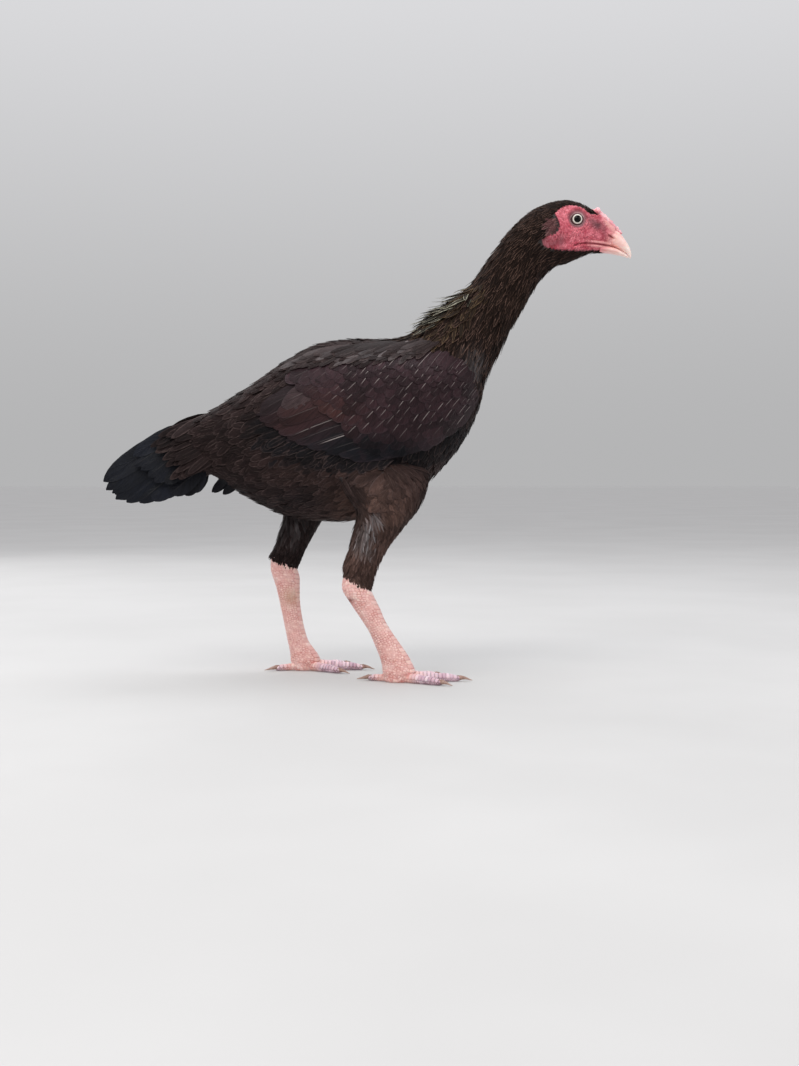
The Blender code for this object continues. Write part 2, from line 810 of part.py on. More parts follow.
def add_head():
    """Make the head with its brows, lids, ears and jowls, and the eyes in it."""
    head = lofted("head", HEAD, BODY_SIDES, HEAD_KEEL, "skin", (GAP / 2, 0.0))
    for side in SIDES.values():
        for name, (centre, radii, pitch) in FACE_FORMS.items():
            x, y, z = centre
            middle = Vector((x, side * y, z)) * MM
            blob(name, middle, Vector(radii) * MM, "skin", PIECES, pitch)
        add_lid(side)
    fuse(head)
    for word, side in SIDES.items():
        x, y, z = EYE
        middle = Vector((x, side * y, z)) * MM
        size = Vector((EYE_RADIUS, EYE_RADIUS, EYE_RADIUS))
        eye = blob("eye_" + word, middle, size, "eye", sides=EYE_SIDES)
        cut(head, grown(eye))
        cut(head, mouth_cutter(side))
    return head


def add_comb(head_room):
    """Make the low comb of three rows of knobs on its base."""
    comb = lofted("comb", COMB, BILL_SIDES, 0.0, "comb")
    for y, radius, raised in COMB_ROWS.values():
        for i in range(COMB_KNOBS):
            share = i / (COMB_KNOBS - 1)
            x, z = blend(COMB_FIRST, COMB_LAST, share)
            size = radius * (1 - KNOB_TAPER * share) * (1 + KNOB_UNEVEN * (-1) ** i) * MM
            spread = y * (1 - COMB_NARROWING * share)
            middle = Vector((x, spread, z + raised)) * MM
            blob("knob", middle, Vector((size, size, size)), "comb", PIECES, sides=KNOB_SIDES)
    fuse(comb)
    cut(comb, head_room)
    return comb


def add_bill(head_room, comb_room):
    """Make the two halves of the bill, with a nostril on each side of the upper."""
    for name, rows in {"beak_upper": BEAK_UPPER, "beak_lower": BEAK_LOWER}.items():
        half = lofted(name, rows, BILL_SIDES, 0.0, "horn")
        cut(half, head_room)
        if name == "beak_upper":
            cut(half, comb_room)
            for side in SIDES.values():
                (x, y, z), radii, pitch = NOSTRIL
                middle = Vector((x, side * y, z)) * MM
                hole = blob("nostril_room", middle, Vector(radii) * MM, "horn", CUTTERS, pitch)
                cut(half, hole)


def centre_all():
    """Shift every body so that the box's middle lies over the origin."""
    things = list(collection(PARTS).objects)
    shift = Vector()
    for axis in (0, 1):
        places = [vert.co[axis] for thing in things for vert in thing.data.vertices]
        shift[axis] = -(max(places) + min(places)) / 2
    for thing in things:
        thing.data.transform(Matrix.Translation(shift))
        thing.data.shade_smooth()
        thing.data.set_sharp_from_angle(angle=math.radians(SMOOTH_DEG))


def main():
    """Build the hen from trunk to bill, then wings, tail and legs."""
    for thing in list(bpy.data.objects):
        bpy.data.objects.remove(thing)
    seams = (GAP / 2, GAP / 2)
    torso = lofted("torso", TRUNK, BODY_SIDES, TRUNK_KEEL, "plumage", seams)
    lofted("neck", NECK, BODY_SIDES, NECK_KEEL, "plumage", seams)
    head_room = grown(add_head())
    comb_room = grown(add_comb(head_room))
    add_bill(head_room, comb_room)
    room = grown(torso)
    add_tail(room)
    for word in SIDES:
        add_wing(word, room)
        add_leg(word, room)
    centre_all()


if __name__ == "__main__":
    main()
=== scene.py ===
"""Looks of a life-size aseel hen, laid over its packed solids.

Sizes in the tables are millimetres: x ahead of the hips, z above the floor, as in the
solids. Everything is then placed in metres, by where the packed eye is.
"""
import math

import bmesh
import bpy
import numpy as np
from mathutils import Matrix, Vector, noise
from mathutils.bvhtree import BVHTree
from mathutils.kdtree import KDTree


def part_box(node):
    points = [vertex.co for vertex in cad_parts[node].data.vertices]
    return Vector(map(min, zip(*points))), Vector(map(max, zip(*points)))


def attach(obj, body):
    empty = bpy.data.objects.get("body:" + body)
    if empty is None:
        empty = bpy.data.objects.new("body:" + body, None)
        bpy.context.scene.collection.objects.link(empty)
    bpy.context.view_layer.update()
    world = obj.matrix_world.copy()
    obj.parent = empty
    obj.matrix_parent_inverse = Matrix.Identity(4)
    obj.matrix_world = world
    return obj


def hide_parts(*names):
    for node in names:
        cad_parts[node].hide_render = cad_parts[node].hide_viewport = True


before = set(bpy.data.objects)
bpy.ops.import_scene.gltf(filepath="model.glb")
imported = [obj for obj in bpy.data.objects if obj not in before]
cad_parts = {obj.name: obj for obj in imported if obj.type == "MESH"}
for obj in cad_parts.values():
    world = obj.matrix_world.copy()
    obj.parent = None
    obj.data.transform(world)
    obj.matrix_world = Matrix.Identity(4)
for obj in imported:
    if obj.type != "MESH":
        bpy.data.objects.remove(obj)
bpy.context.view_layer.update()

bl_info = {
    "name": "Aseel hen",
    "version": (1, 0, 0),
    "blender": (4, 5, 0),
    "location": "3D View > Sidebar > Hen",
    "description": "Skin, feathers, scutes and horn of a life-size aseel hen",
    "category": "Add Mesh",
}

MM = 0.001
SIDES = {"left": 1, "right": -1}

# The body from tail to bill, one row a cross-section: dorsal x, z, ventral x, z,
# half width, and how much the ventral side narrows.
BODY = [
    (-232, 218, -226, 206, 2, -0.3),
    (-220, 228, -208, 198, 5, -0.3),
    (-206, 239, -188, 194, 10, -0.3),
    (-192, 249, -172, 197, 15, -0.1),
    (-178, 256, -158, 203, 19, 0.18),
    (-160, 266, -138, 191, 28, 0.18),
    (-137, 280, -113, 175, 38, 0.18),
    (-112, 297, -80, 161, 48, 0.18),
    (-86, 315, -38, 156, 56, 0.18),
    (-60, 330, 5, 160, 61, 0.18),
    (-36, 336.5, 38, 176, 64, 0.18),
    (-12, 338.5, 66, 202, 64, 0.18),
    (10, 338, 92, 233, 61, 0.18),
    (28, 339, 108, 264, 54, 0.18),
    (42, 344, 118, 300, 46, 0.14),
    (60, 361, 129, 322, 37, 0.10),
    (82, 377, 139, 343, 30, 0.10),
    (99, 390, 148, 359, 26, 0.10),
    (111, 406, 158, 376, 23, 0.10),
    (123, 424, 168, 393, 21, 0.10),
    (136, 441, 178, 404, 20, 0.10),
    (151, 457, 188, 411.5, 20, 0.16),
    (162, 466, 193, 412.5, 20.5, 0.22),
    (175, 472, 199, 414.5, 20.5, 0.22),
    (188, 475.5, 206, 417.5, 20, 0.22),
    (200, 476, 214, 421, 19, 0.22),
    (212, 472.5, 221.5, 423.5, 17.2, 0.22),
    (223, 466.5, 229, 424, 14.5, 0.22),
    (234, 459, 234, 424, 11.5, 0.22),
    (246, 450, 238, 424.5, 8.8, 0.22),
]
NECK_START = 14
HEAD_START = 21
BODY_END = len(BODY) - 1

# The folded wing's arm and hand: upper edge x, z, lower edge x, z, thickness.
WING_CORE = [
    (111, 290, 113, 276, 3),
    (104, 302, 108, 262, 8),
    (84, 316, 96, 247, 10.5),
    (52, 325, 71, 233, 10.5),
    (18, 327, 41, 226, 9.5),
    (-12, 323, 4, 226, 8),
    (-36, 315, -24, 232, 6),
    (-54, 304, -44, 246, 3),
]
WING_OUTLINE = [
    (112, 283), (104, 302), (84, 316), (52, 325), (18, 327), (-12, 326), (-45, 320),
    (-85, 300), (-117, 277), (-96, 244), (-73, 230), (-42, 220), (-8, 217), (40, 220),
    (68, 226), (88, 238), (105, 257),
]

# Each leg: rear x, z, front x, z, middle y, half width. The thigh ends where its
# feathers do.
THIGHS = {
    "right": [
        (-20, 214, 40, 216, 42, 6),
        (-32, 204, 58, 207, 46, 14),
        (-26, 188, 58, 192, 49, 20),
        (-12, 166, 50, 171, 48, 21),
        (-16, 146, 33, 149, 46, 19),
        (-20, 129, 18, 129, 45, 15.5),
        (-25, 113, 8, 108, 45, 12.5),
        (-25, 107, 3, 90, 45, 11),
    ],
    "left": [
        (-92, 206, -46, 210, 38, 6),
        (-108, 197, -28, 201, 43, 14),
        (-101, 180, -34, 184, 47, 20),
        (-91, 162, -47, 161, 47, 20),
        (-95, 144, -58, 142, 46, 17),
        (-99, 130, -67, 126, 45, 14),
        (-104, 120, -75.5, 106, 45, 11.5),
    ],
}
SHANKS = {
    "right": [
        (-25, 107, 3, 90, 45, 11),
        (-26, 91, 6, 82, 45, 11),
        (-18, 77, 11, 72, 45, 9.5),
        (-8, 62, 16, 60, 45, 8.5),
        (0.5, 48.5, 22.5, 49, 45, 8.5),
        (6.5, 34.5, 30.5, 37.5, 45, 9),
        (11, 23, 39, 25, 45, 10),
        (13, 15, 44, 15, 45, 11),
    ],
    "left": [
        (-104, 120, -75.5, 106, 45, 11.5),
        (-103.5, 104, -73.5, 96, 45, 11),
        (-98, 86, -73.5, 83, 45, 9.5),
        (-94, 68, -73, 68, 45, 8.5),
        (-89.5, 46.5, -69.5, 46.5, 45, 8.5),
        (-86.5, 31, -65, 31, 45, 9),
        (-84.5, 22, -59, 22, 45, 10),
        (-83.5, 15, -54, 15, 45, 11),
    ],
}
# Toes: heading from straight ahead towards the outer side in degrees, length, radius.
TOES = {
    "inner": (-38, 50, 5.0),
    "middle": (-2, 62, 5.4),
    "outer": (34, 52, 5.0),
    "hind": (197, 31, 4.2),
}

# Places on the head, in side view. An oval is its middle x, z and its reach x, z.
EYE = (206, 11.8, 455)
EYE_RADIUS = 7.0
FACE_EDGE = [
    (226.5, 461.0), (221.5, 460.5), (216.9, 461.8), (210.9, 466.4), (204.7, 469.0), (196.8, 469.6),
    (190.5, 466.8), (185.8, 463.0), (184.0, 460.2), (186.6, 455.5), (188.6, 449.5), (187.8, 443.5),
    (184.5, 440.2), (179.5, 439.2), (174.5, 438.6), (171.4, 434.6), (172.6, 430.0), (177.5, 426.8),
    (187.8, 425.4), (200, 425.2), (210.7, 425.2), (222, 426.0), (232, 426.4), (240, 425), (256, 421),
    (256, 452), (238, 457),
]
MOUTH = [(203, 429.4), (207.4, 431.1), (214.6, 432.2), (223.7, 432.0), (232.9, 431.1), (243, 430.0)]
EAR = (180.8, 449.4, 6.6, 8.6)
# How far behind their roots the ear's feathers show.
EAR_TIPS = 3.0
EAR_LOBE = (178.6, 432.8, 6.9, 5.4)


def table_shift():
    """Return how far ahead of the tables the packed solids lie, in millimetres."""
    low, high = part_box("eye_left")
    return (low.x + high.x) / 2 / MM - EYE[0]


SHIFT = table_shift()


def placed(x, y, z):
    """Turn table places in millimetres into places in metres, as one array."""
    x, y, z = np.broadcast_arrays(x, y, z)
    return np.stack([x + SHIFT, y, z], axis=-1) * MM


def in_tables(points):
    """Turn places in metres into table x, y, z in millimetres."""
    return points[..., 0] / MM - SHIFT, points[..., 1] / MM, points[..., 2] / MM


def rows_at(rows, where):
    """Return smooth rows between a table's rows, at places counted in rows."""
    rows = np.array(rows, float)
    ends = np.vstack([2 * rows[0] - rows[1], rows, 2 * rows[-1] - rows[-2]])
    where = np.asarray(where, float)
    low = np.clip(where.astype(int), 0, len(rows) - 2)
    t = (where - low)[..., None]
    a, b, c, d = ends[low], ends[low + 1], ends[low + 2], ends[low + 3]
    pull = (2 * a - 5 * b + 4 * c - d) * t**2 + (3 * b - a - 3 * c + d) * t**3
    return 0.5 * (2 * b + (c - a) * t + pull)


def smooth_step(low, high, value):
    """Return 0 below low and 1 above high, with a soft rise between."""
    share = np.clip((value - low) / (high - low), 0, 1)
    return share * share * (3 - 2 * share)


def hump(value, centre, width):
    """Return a soft bump of height 1 around a value."""
    return np.exp(-(((value - centre) / width) ** 2))


def patches(x, z, table):
    """Return the sum of a table's soft ovals at side-view places."""
    return sum(
        height * np.exp(-(((x - cx) / rx) ** 2) - ((z - cz) / rz) ** 2)
        for height, cx, cz, rx, rz in table
    )


def turns_of(count):
    """Return angles of a full turn in equal steps, without its end."""
    return np.arange(count) * math.tau / count


def between_ends(row, up):
    """Return side-view places of a cross-section, 1 at its first end and -1 at its last."""
    x = (row[..., 0] + row[..., 2]) / 2 + (row[..., 0] - row[..., 2]) / 2 * up
    z = (row[..., 1] + row[..., 3]) / 2 + (row[..., 1] - row[..., 3]) / 2 * up
    return x, z


def body_points(where, angles):
    """Return the body's outer surface at places along it and angles round it.

    Angle 0 is the back, and a quarter turn is the left side.
    """
    row = rows_at(BODY, where)[:, None, :]
    up = np.cos(angles)[None, :]
    across = np.sin(angles)[None, :] * (1 - row[..., 5] * (1 - up) / 2)
    x, z = between_ends(row, up)
    return placed(x, row[..., 4] * across, z)


def leg_points(rows, side, where, angles):
    """Return a leg's surface at places down it and angles round it, 0 at its front."""
    row = rows_at(rows, where)[:, None, :]
    turn = angles[None, :]
    x, z = between_ends(row, -np.cos(turn))
    return placed(x, side * row[..., 4] + row[..., 5] * np.sin(turn), z)


class Form:
    """A closed tube of flesh as a grid of points, which can be read anywhere on it."""

    def __init__(self, points):
        self.points = points
        self.rows, self.columns = points.shape[:2]
        self.along = np.gradient(points, axis=0)
        self.around = (np.roll(points, -1, 1) - np.roll(points, 1, 1)) / 2
        out = np.cross(self.along, self.around)
        middle = points.mean(axis=1, keepdims=True)
        if np.sum(out * (points - middle)) < 0:
            out = -out
        self.normals = out / np.maximum(np.linalg.norm(out, axis=2, keepdims=True), 1e-12)

    def read(self, grid, s, t):
        """Read one of the grids at row s and column t. Past its ends it runs on straight."""
        low = np.clip(np.floor(s), 0, self.rows - 2).astype(int)
        ahead = (s - low)[..., None]
        column = np.floor(t).astype(int)
        beside = (t - column)[..., None]
        here = column % self.columns
        there = (column + 1) % self.columns
        near = grid[low, here] * (1 - beside) + grid[low, there] * beside
        far = grid[low + 1, here] * (1 - beside) + grid[low + 1, there] * beside
        return near + (far - near) * ahead

    def step(self, s, t, move):
        """Return the change of row and column that a small move over the surface makes."""
        along = self.read(self.along, s, t)
        around = self.read(self.around, s, t)
        aa = np.sum(along * along, -1)
        ab = np.sum(along * around, -1)
        bb = np.sum(around * around, -1)
        a = np.sum(move * along, -1)
        b = np.sum(move * around, -1)
        scale = np.maximum(aa * bb - ab * ab, 1e-18)
        return (a * bb - b * ab) / scale, (b * aa - a * ab) / scale


def unit(vectors):
    """Return vectors at length 1."""
    return vectors / np.maximum(np.linalg.norm(vectors, axis=-1, keepdims=True), 1e-12)


BODY_STEPS = 12
BODY_COLUMNS = 144
BODY_FORM = Form(
    body_points(
        np.linspace(0, BODY_END, BODY_END * BODY_STEPS + 1),
        turns_of(BODY_COLUMNS),
    )
)


def off_edge(x, z, start, end):
    """Return how far side-view places lie from one straight piece of a line."""
    (ax, az), (bx, bz) = start, end
    span = (bx - ax) ** 2 + (bz - az) ** 2
    share = np.clip(((x - ax) * (bx - ax) + (z - az) * (bz - az)) / span, 0, 1)
    return np.hypot(x - ax - share * (bx - ax), z - az - share * (bz - az))


def inside(x, z, outline):
    """Return how deep side-view places lie inside an outline, below 0 outside it."""
    x, z = np.asarray(x, float), np.asarray(z, float)
    nearest = np.full(x.shape, 1e9)
    within = np.zeros(x.shape, bool)
    for (ax, az), (bx, bz) in zip(outline, outline[1:] + outline[:1]):
        nearest = np.minimum(nearest, off_edge(x, z, (ax, az), (bx, bz)))
        crosses = (az > z) != (bz > z)
        level = (bz - az) if bz != az else 1e-9
        within ^= crosses & (x < ax + (z - az) * (bx - ax) / level)
    return np.where(within, nearest, -nearest)


def from_line(x, z, line):
    """Return how far side-view places lie from an open line."""
    nearest = np.full(np.shape(x), 1e9)
    for start, end in zip(line, line[1:]):
        nearest = np.minimum(nearest, off_edge(x, z, start, end))
    return nearest


def flank(x, z):
    """Return the trunk's half width in millimetres at side-view places."""
    low = np.full(np.shape(x), 4.0)
    high = np.full(np.shape(x), float(NECK_START))
    for _ in range(18):
        middle = (low + high) / 2
        row = rows_at(BODY, middle)
        ahead = (z - row[..., 1]) * (row[..., 2] - row[..., 0])
        ahead = ahead - (x - row[..., 0]) * (row[..., 3] - row[..., 1])
        low = np.where(ahead > 0, middle, low)
        high = np.where(ahead > 0, high, middle)
    row = rows_at(BODY, (low + high) / 2)
    half_x = (row[..., 0] - row[..., 2]) / 2
    half_z = (row[..., 1] - row[..., 3]) / 2
    off_x = x - (row[..., 0] + row[..., 2]) / 2
    off_z = z - (row[..., 1] + row[..., 3]) / 2
    up = (off_x * half_x + off_z * half_z) / (half_x**2 + half_z**2)
    reach = np.clip(up, -0.88, 0.88)
    across = np.sqrt(1 - reach**2)
    across = across - (up - reach) * reach / across
    return np.maximum(0.1, across) * row[..., 4] * (1 - row[..., 5] * (1 - reach) / 2)


def tail_half(x, z):
    """Return the half width of the tented tail in millimetres at side-view places."""
    (ax, az), (bx, bz) = (-178, 256), (-263, 195)
    length = math.hypot(bx - ax, bz - az)
    along = np.clip(((x - ax) * (bx - ax) + (z - az) * (bz - az)) / length**2, 0, 1)
    below = ((z - az) * (bx - ax) - (x - ax) * (bz - az)) / length
    share = np.clip(below / 52, 0, 1)
    return 2.2 + 17 * np.sqrt(share) * (1 - 0.6 * along)


# Markings and painted shade, shared by the skin and by every feather on it. A table of soft
# ovals holds each one's strength, middle x, z and reach x, z.
RUFOUS = [(0.9, 16, 176, 34, 30), (0.1, -48, 211, 30, 15)]
SHOULDER_PALE = [(0.26, 112, 327, 11, 12)]
# The lower belly's dark patch is partly its own colour and partly painted shade.
BELLY_DARK = [(0.75, -30, 180, 66, 16)]
WING_RUFOUS = [(0.75, -46, 265, 30, 17)]
WING_PALE = [(0.07, -72, 276, 12, 6)]


def marks_and_shade(points):
    """Return rufous, pale, gilt and smoke shares at places of the body, each 0 to 1. The smoke share
    also holds painted shade.
    """
    x, y, z = in_tables(points)
    # The thigh's rufous is kept to the near thigh; the far thigh is left darker as painted shade.
    thigh = smooth_step(162, 142, z) * smooth_step(-52, -36, x) * smooth_step(60, 40, x)
    rufous = patches(x, z, RUFOUS) + 0.75 * thigh
    pale = patches(x, z, SHOULDER_PALE) * smooth_step(12, 24, np.abs(y))
    gilt = smooth_step(28, 75, x) * smooth_step(316, 345, z)
    gilt = gilt * (1 - 0.55 * smooth_step(150, 190, x))
    # Painted shadow under the wing's lower edge: the flank is darkened there and its rufous held back.
    painted_wing_shadow = smooth_step(-6, -1, inside(x, z, WING_OUTLINE))
    painted_wing_shadow = painted_wing_shadow * smooth_step(275, 262, z) * smooth_step(-112, -84, x)
    rufous = rufous * (1 - 0.8 * painted_wing_shadow)
    dark = smooth_step(-176, -226, x) + 0.9 * painted_wing_shadow + patches(x, z, BELLY_DARK)
    return np.clip(np.stack([rufous, pale, gilt, dark], axis=-1), 0, 1)


def wing_markings(x, z):
    """Return the same shares at side-view places of a wing."""
    dark = smooth_step(252, 228, z + 0.12 * x) + 0.5 * smooth_step(-70, -100, x)
    shares = [patches(x, z, WING_RUFOUS), patches(x, z, WING_PALE), np.zeros_like(x), dark]
    return np.clip(np.stack(shares, axis=-1), 0, 1)


# Making meshes.
def new_mesh(name, points, corners, sizes):
    """Make a smooth mesh object from points and from faces given corner by corner."""
    mesh = bpy.data.meshes.new(name)
    mesh.vertices.add(len(points))
    mesh.vertices.foreach_set("co", np.asarray(points, np.float32).ravel())
    mesh.loops.add(len(corners))
    mesh.loops.foreach_set("vertex_index", np.asarray(corners, np.int32))
    mesh.polygons.add(len(sizes))
    starts = np.concatenate([[0], np.cumsum(sizes)[:-1]])
    mesh.polygons.foreach_set("loop_start", starts.astype(np.int32))
    mesh.update(calc_edges=True)
    mesh.validate()
    mesh.shade_smooth()
    thing = bpy.data.objects.new(name, mesh)
    bpy.context.scene.collection.objects.link(thing)
    return thing


def ring_quads(rings, sides, looped=False):
    """Return the faces between neighbouring rings, and from last to first if looped."""
    i = np.arange(rings if looped else rings - 1)[:, None]
    j = np.arange(sides)[None, :]
    here, there = i * sides, (i + 1) % rings * sides
    nxt = (j + 1) % sides
    return np.stack([here + j, here + nxt, there + nxt, there + j], axis=-1).reshape(-1, 4)


def tube_faces(rings, sides):
    """Return corners and face sizes of a closed tube of rings with flat ends."""
    quads = ring_quads(rings, sides)
    first = np.arange(sides)[::-1]
    last = (rings - 1) * sides + np.arange(sides)
    corners = np.concatenate([quads.ravel(), first, last])
    sizes = np.concatenate([np.full(len(quads), 4), [sides, sides]])
    return corners, sizes


def tube(name, grid):
    """Make a mesh from a grid of rings, its ends closed, facing outwards."""
    rings, sides = grid.shape[:2]
    corners, sizes = tube_faces(rings, sides)
    thing = new_mesh(name, grid.reshape(-1, 3), corners, sizes)
    face_outwards(thing)
    return thing


def face_outwards(thing):
    """Turn all the faces of a closed mesh outwards."""
    shape = bmesh.new()
    shape.from_mesh(thing.data)
    bmesh.ops.recalc_face_normals(shape, faces=shape.faces)
    shape.to_mesh(thing.data)
    shape.free()
    thing.data.shade_smooth()


def merged(name, things):
    """Join several mesh objects into the first, under a new name."""
    with bpy.context.temp_override(
        active_object=things[0], object=things[0],
        selected_objects=things, selected_editable_objects=things,
    ):
        bpy.ops.object.join()
    things[0].name = name
    things[0].data.name = name
    return things[0]


def settle(thing):
    """Apply an object's modifiers to its mesh."""
    depsgraph = bpy.context.evaluated_depsgraph_get()
    made = bpy.data.meshes.new_from_object(thing.evaluated_get(depsgraph))
    old = thing.data
    thing.modifiers.clear()
    thing.data = made
    bpy.data.meshes.remove(old)
    made.name = thing.name


def moulded(thing, grain, smooth=4):
    """Fuse overlapping closed shapes into one skin of small even faces."""
    step = thing.modifiers.new("fuse", "REMESH")
    step.mode = "VOXEL"
    step.voxel_size = grain
    step.use_smooth_shade = True
    soften = thing.modifiers.new("soften", "SMOOTH")
    soften.factor = 0.5
    soften.iterations = smooth
    settle(thing)
    return thing


def mesh_points(thing):
    """Return a mesh's points and their normals as arrays."""
    count = len(thing.data.vertices)
    points = np.zeros(count * 3, np.float32)
    normals = np.zeros(count * 3, np.float32)
    thing.data.vertices.foreach_get("co", points)
    thing.data.vertices.foreach_get("normal", normals)
    return points.reshape(-1, 3).astype(float), normals.reshape(-1, 3).astype(float)


def set_points(thing, points):
    """Write a mesh's points."""
    thing.data.vertices.foreach_set("co", np.asarray(points, np.float32).ravel())
    thing.data.update()


def set_shares(thing, name, values):
    """Store one number for each point of a mesh, for its material."""
    layer = thing.data.attributes.new(name, "FLOAT", "POINT")
    layer.data.foreach_set("value", np.asarray(values, np.float32).ravel())


def set_marks(thing, values):
    """Store the four shares of markings and painted shade for each point of a mesh, for its material.
    """
    layer = thing.data.attributes.new("Marks", "FLOAT_COLOR", "POINT")
    layer.data.foreach_set("color", np.asarray(values, np.float32).ravel())


def set_uv(thing, name, per_corner):
    """Store a UV map given for each face corner."""
    layer = thing.data.uv_layers.new(name=name)
    layer.data.foreach_set("uv", np.asarray(per_corner, np.float32).ravel())


def carried(thing, slot, look, *nodes):
    """Let a piece ride with the hen, with its finish, in place of its solids. Its slot is not used."""
    thing.data.materials.append(finish(look))
    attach(thing, "root")
    if nodes:
        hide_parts(*nodes)
    return thing


# Feathers.
class Vane:
    """The pattern of one feather: rings of points across it, from root to tip."""

    def __init__(self, outline, across, crown, thickness, shaft):
        """outline is pairs of place and width; across the places over half the vane."""
        self.rings = len(outline)
        places = np.array([place for place, _ in outline])
        widths = np.array([width for _, width in outline])
        top = np.array(across)
        under = top[-2:0:-1][::2] if len(top) > 5 else np.array([0.0])
        self.sides = len(top) + len(under)
        u = np.concatenate([top, under])
        over = np.concatenate([np.ones(len(top)), np.zeros(len(under))])
        self.u = np.tile(u, (self.rings, 1))
        self.v = np.tile(places[:, None], (1, self.sides))
        self.width = np.tile(widths[:, None], (1, self.sides))
        body = thickness * (1 - 0.7 * np.abs(u) ** 2)
        ridge = shaft * hump(u, 0, 0.12) * over
        self.lift = np.tile(np.where(over > 0, body / 2, -body / 2) + ridge, (self.rings, 1))
        self.lift = self.lift - crown * self.u**2 * self.width
        self.corners, self.sizes = tube_faces(self.rings, self.sides)


VANE_EDGE = math.radians(55)
HACKLE = [(0, 0.5), (0.2, 0.9), (0.45, 1), (0.65, 0.82), (0.82, 0.55), (0.94, 0.28), (1, 0.05)]
BODY_VANE = [(0, 0.35), (0.22, 0.8), (0.5, 1), (0.72, 0.96), (0.87, 0.74), (0.96, 0.42), (1, 0.12)]
SMALL_VANE = [(0, 0.5), (0.3, 0.95), (0.62, 0.95), (0.88, 0.6), (1, 0.12)]
FINE_ACROSS = (-1, -0.5, 0, 0.5, 1)
BROAD_ACROSS = (-1, -0.7, -0.35, -0.08, 0, 0.08, 0.35, 0.7, 1)


def keep_apart(points, gaps):
    """Return which points, taken in order, lie at least their gap from those before."""
    size = float(gaps.max())
    cells = {}
    kept = []
    keys = np.floor(points / size).astype(int).tolist()
    around = [(a, b, c) for a in (-1, 0, 1) for b in (-1, 0, 1) for c in (-1, 0, 1)]
    for index, (key, point, gap) in enumerate(zip(keys, points.tolist(), gaps.tolist())):
        x, y, z = point
        near = gap * gap
        beside = cells.get(tuple(key), ())
        if any((a - x) ** 2 + (b - y) ** 2 + (c - z) ** 2 < near for a, b, c in beside):
            continue
        kept.append(index)
        i, j, k = key
        for a, b, c in around:
            cells.setdefault((i + a, j + b, k + c), []).append(point)
    return np.array(kept, int)


def sown(form, gap, rng, darts=5):
    """Choose feather roots over a form: rows, columns and gaps, evenly set.

    gap is a grid of the distance wanted between roots in metres, 0 where none grow.
    """
    area = np.linalg.norm(np.cross(form.along, form.around), axis=2)
    weight = np.where(gap > 0, area / np.maximum(gap, 1e-6) ** 2, 0)
    count = int(weight.sum() * darts)
    cell = rng.choice(weight.size, size=count, p=weight.ravel() / weight.sum())
    s = cell // form.columns + rng.random(count) - 0.5
    t = cell % form.columns + rng.random(count) - 0.5
    s = np.clip(s, 0, form.rows - 1)
    points = form.read(form.points, s, t)
    gaps = gap.ravel()[cell]
    kept = keep_apart(points, gaps)
    return s[kept], t[kept], gaps[kept]


def feathered(name, form, s, t, heading, length, width, root, tip, vane, rng, curl=0.0):
    """Lay feathers over a form from their roots, and return them as one mesh.

    heading is each one's direction, root and tip its lift at both ends, curl how far
    its end turns up.
    """
    count = len(s)
    here_s, here_t = s.copy(), t.copy()
    way = unit(heading)
    roll = rng.normal(0, 0.035, count)
    bend = rng.normal(0, 0.16, count)
    grid = np.zeros((count, vane.rings, vane.sides, 3))
    before = 0.0
    for ring in range(vane.rings):
        v = vane.v[ring, 0]
        normal = unit(form.read(form.normals, here_s, here_t))
        way = unit(way - normal * np.sum(way * normal, -1, keepdims=True))
        for _ in range(2):
            ds, dt = form.step(here_s, here_t, way * (length * (v - before) / 2)[:, None])
            here_s = here_s + ds
            here_t = here_t + dt
        normal = unit(form.read(form.normals, here_s, here_t))
        way = unit(way - normal * np.sum(way * normal, -1, keepdims=True))
        side = np.cross(normal, way)
        way = unit(way + side * (bend * (v - before))[:, None])
        before = v
        u = vane.u[ring][None, :]
        ragged = 1 + rng.uniform(-0.1, 0.1, (count, vane.sides))
        off = u * (width / 2)[:, None] * vane.width[ring, 0] * ragged
        ds, dt = form.step(here_s[:, None], here_t[:, None], side[:, None, :] * off[..., None])
        at_s = here_s[:, None] + ds
        at_t = here_t[:, None] + dt
        out = unit(form.read(form.normals, at_s, at_t))
        lift = root + (tip - root) * v**0.8 + curl * v**3
        rise = lift[:, None] + vane.lift[ring][None, :] + off * roll[:, None]
        grid[:, ring] = form.read(form.points, at_s, at_t) + out * rise[..., None]
    thing = repeated(name, grid, vane)
    low, high = s.min(), s.max() + 1e-6
    root_u = (t % form.columns) / form.columns
    root_v = (s - low) / (high - low)
    set_bake(thing, vane, root_u, root_v)
    return thing


def repeated(name, grid, vane):
    """Make one mesh of many feathers of one pattern, with their vane map."""
    count = len(grid)
    points = vane.rings * vane.sides
    starts = np.arange(count)[:, None] * points
    corners = (vane.corners[None, :] + starts).ravel()
    sizes = np.tile(vane.sizes, count)
    thing = new_mesh(name, grid.reshape(-1, 3), corners, sizes)
    thing.data.set_sharp_from_angle(angle=VANE_EDGE)
    pattern = np.stack([vane.u / 2 + 0.5, vane.v], axis=-1).reshape(-1, 2)
    set_uv(thing, "Vane", np.tile(pattern[vane.corners], (count, 1)))
    return thing


def set_bake(thing, vane, root_u, root_v):
    """Give each feather a small patch at its root's place on the skin's unwrap."""
    patch = 0.003
    inner = 1 - 2 * patch
    pattern = np.stack([vane.u / 2, vane.v], axis=-1).reshape(-1, 2)[vane.corners] * patch
    base = np.stack([patch + inner * root_u, patch + inner * root_v], axis=-1)
    set_uv(thing, "OFBake", (base[:, None, :] + pattern[None]).reshape(-1, 2))


def mark_feathers(thing, vane, marks, rng, shafts=None):
    """Give each feather its markings, its shaft's share and a tone of its own."""
    count = len(marks)
    points = vane.rings * vane.sides
    set_marks(thing, np.repeat(marks, points, axis=0))
    set_shares(thing, "Tint", np.repeat(rng.random(count), points))
    shafts = rng.random(count) ** 2 if shafts is None else shafts
    set_shares(thing, "Shaft", np.repeat(shafts, points))


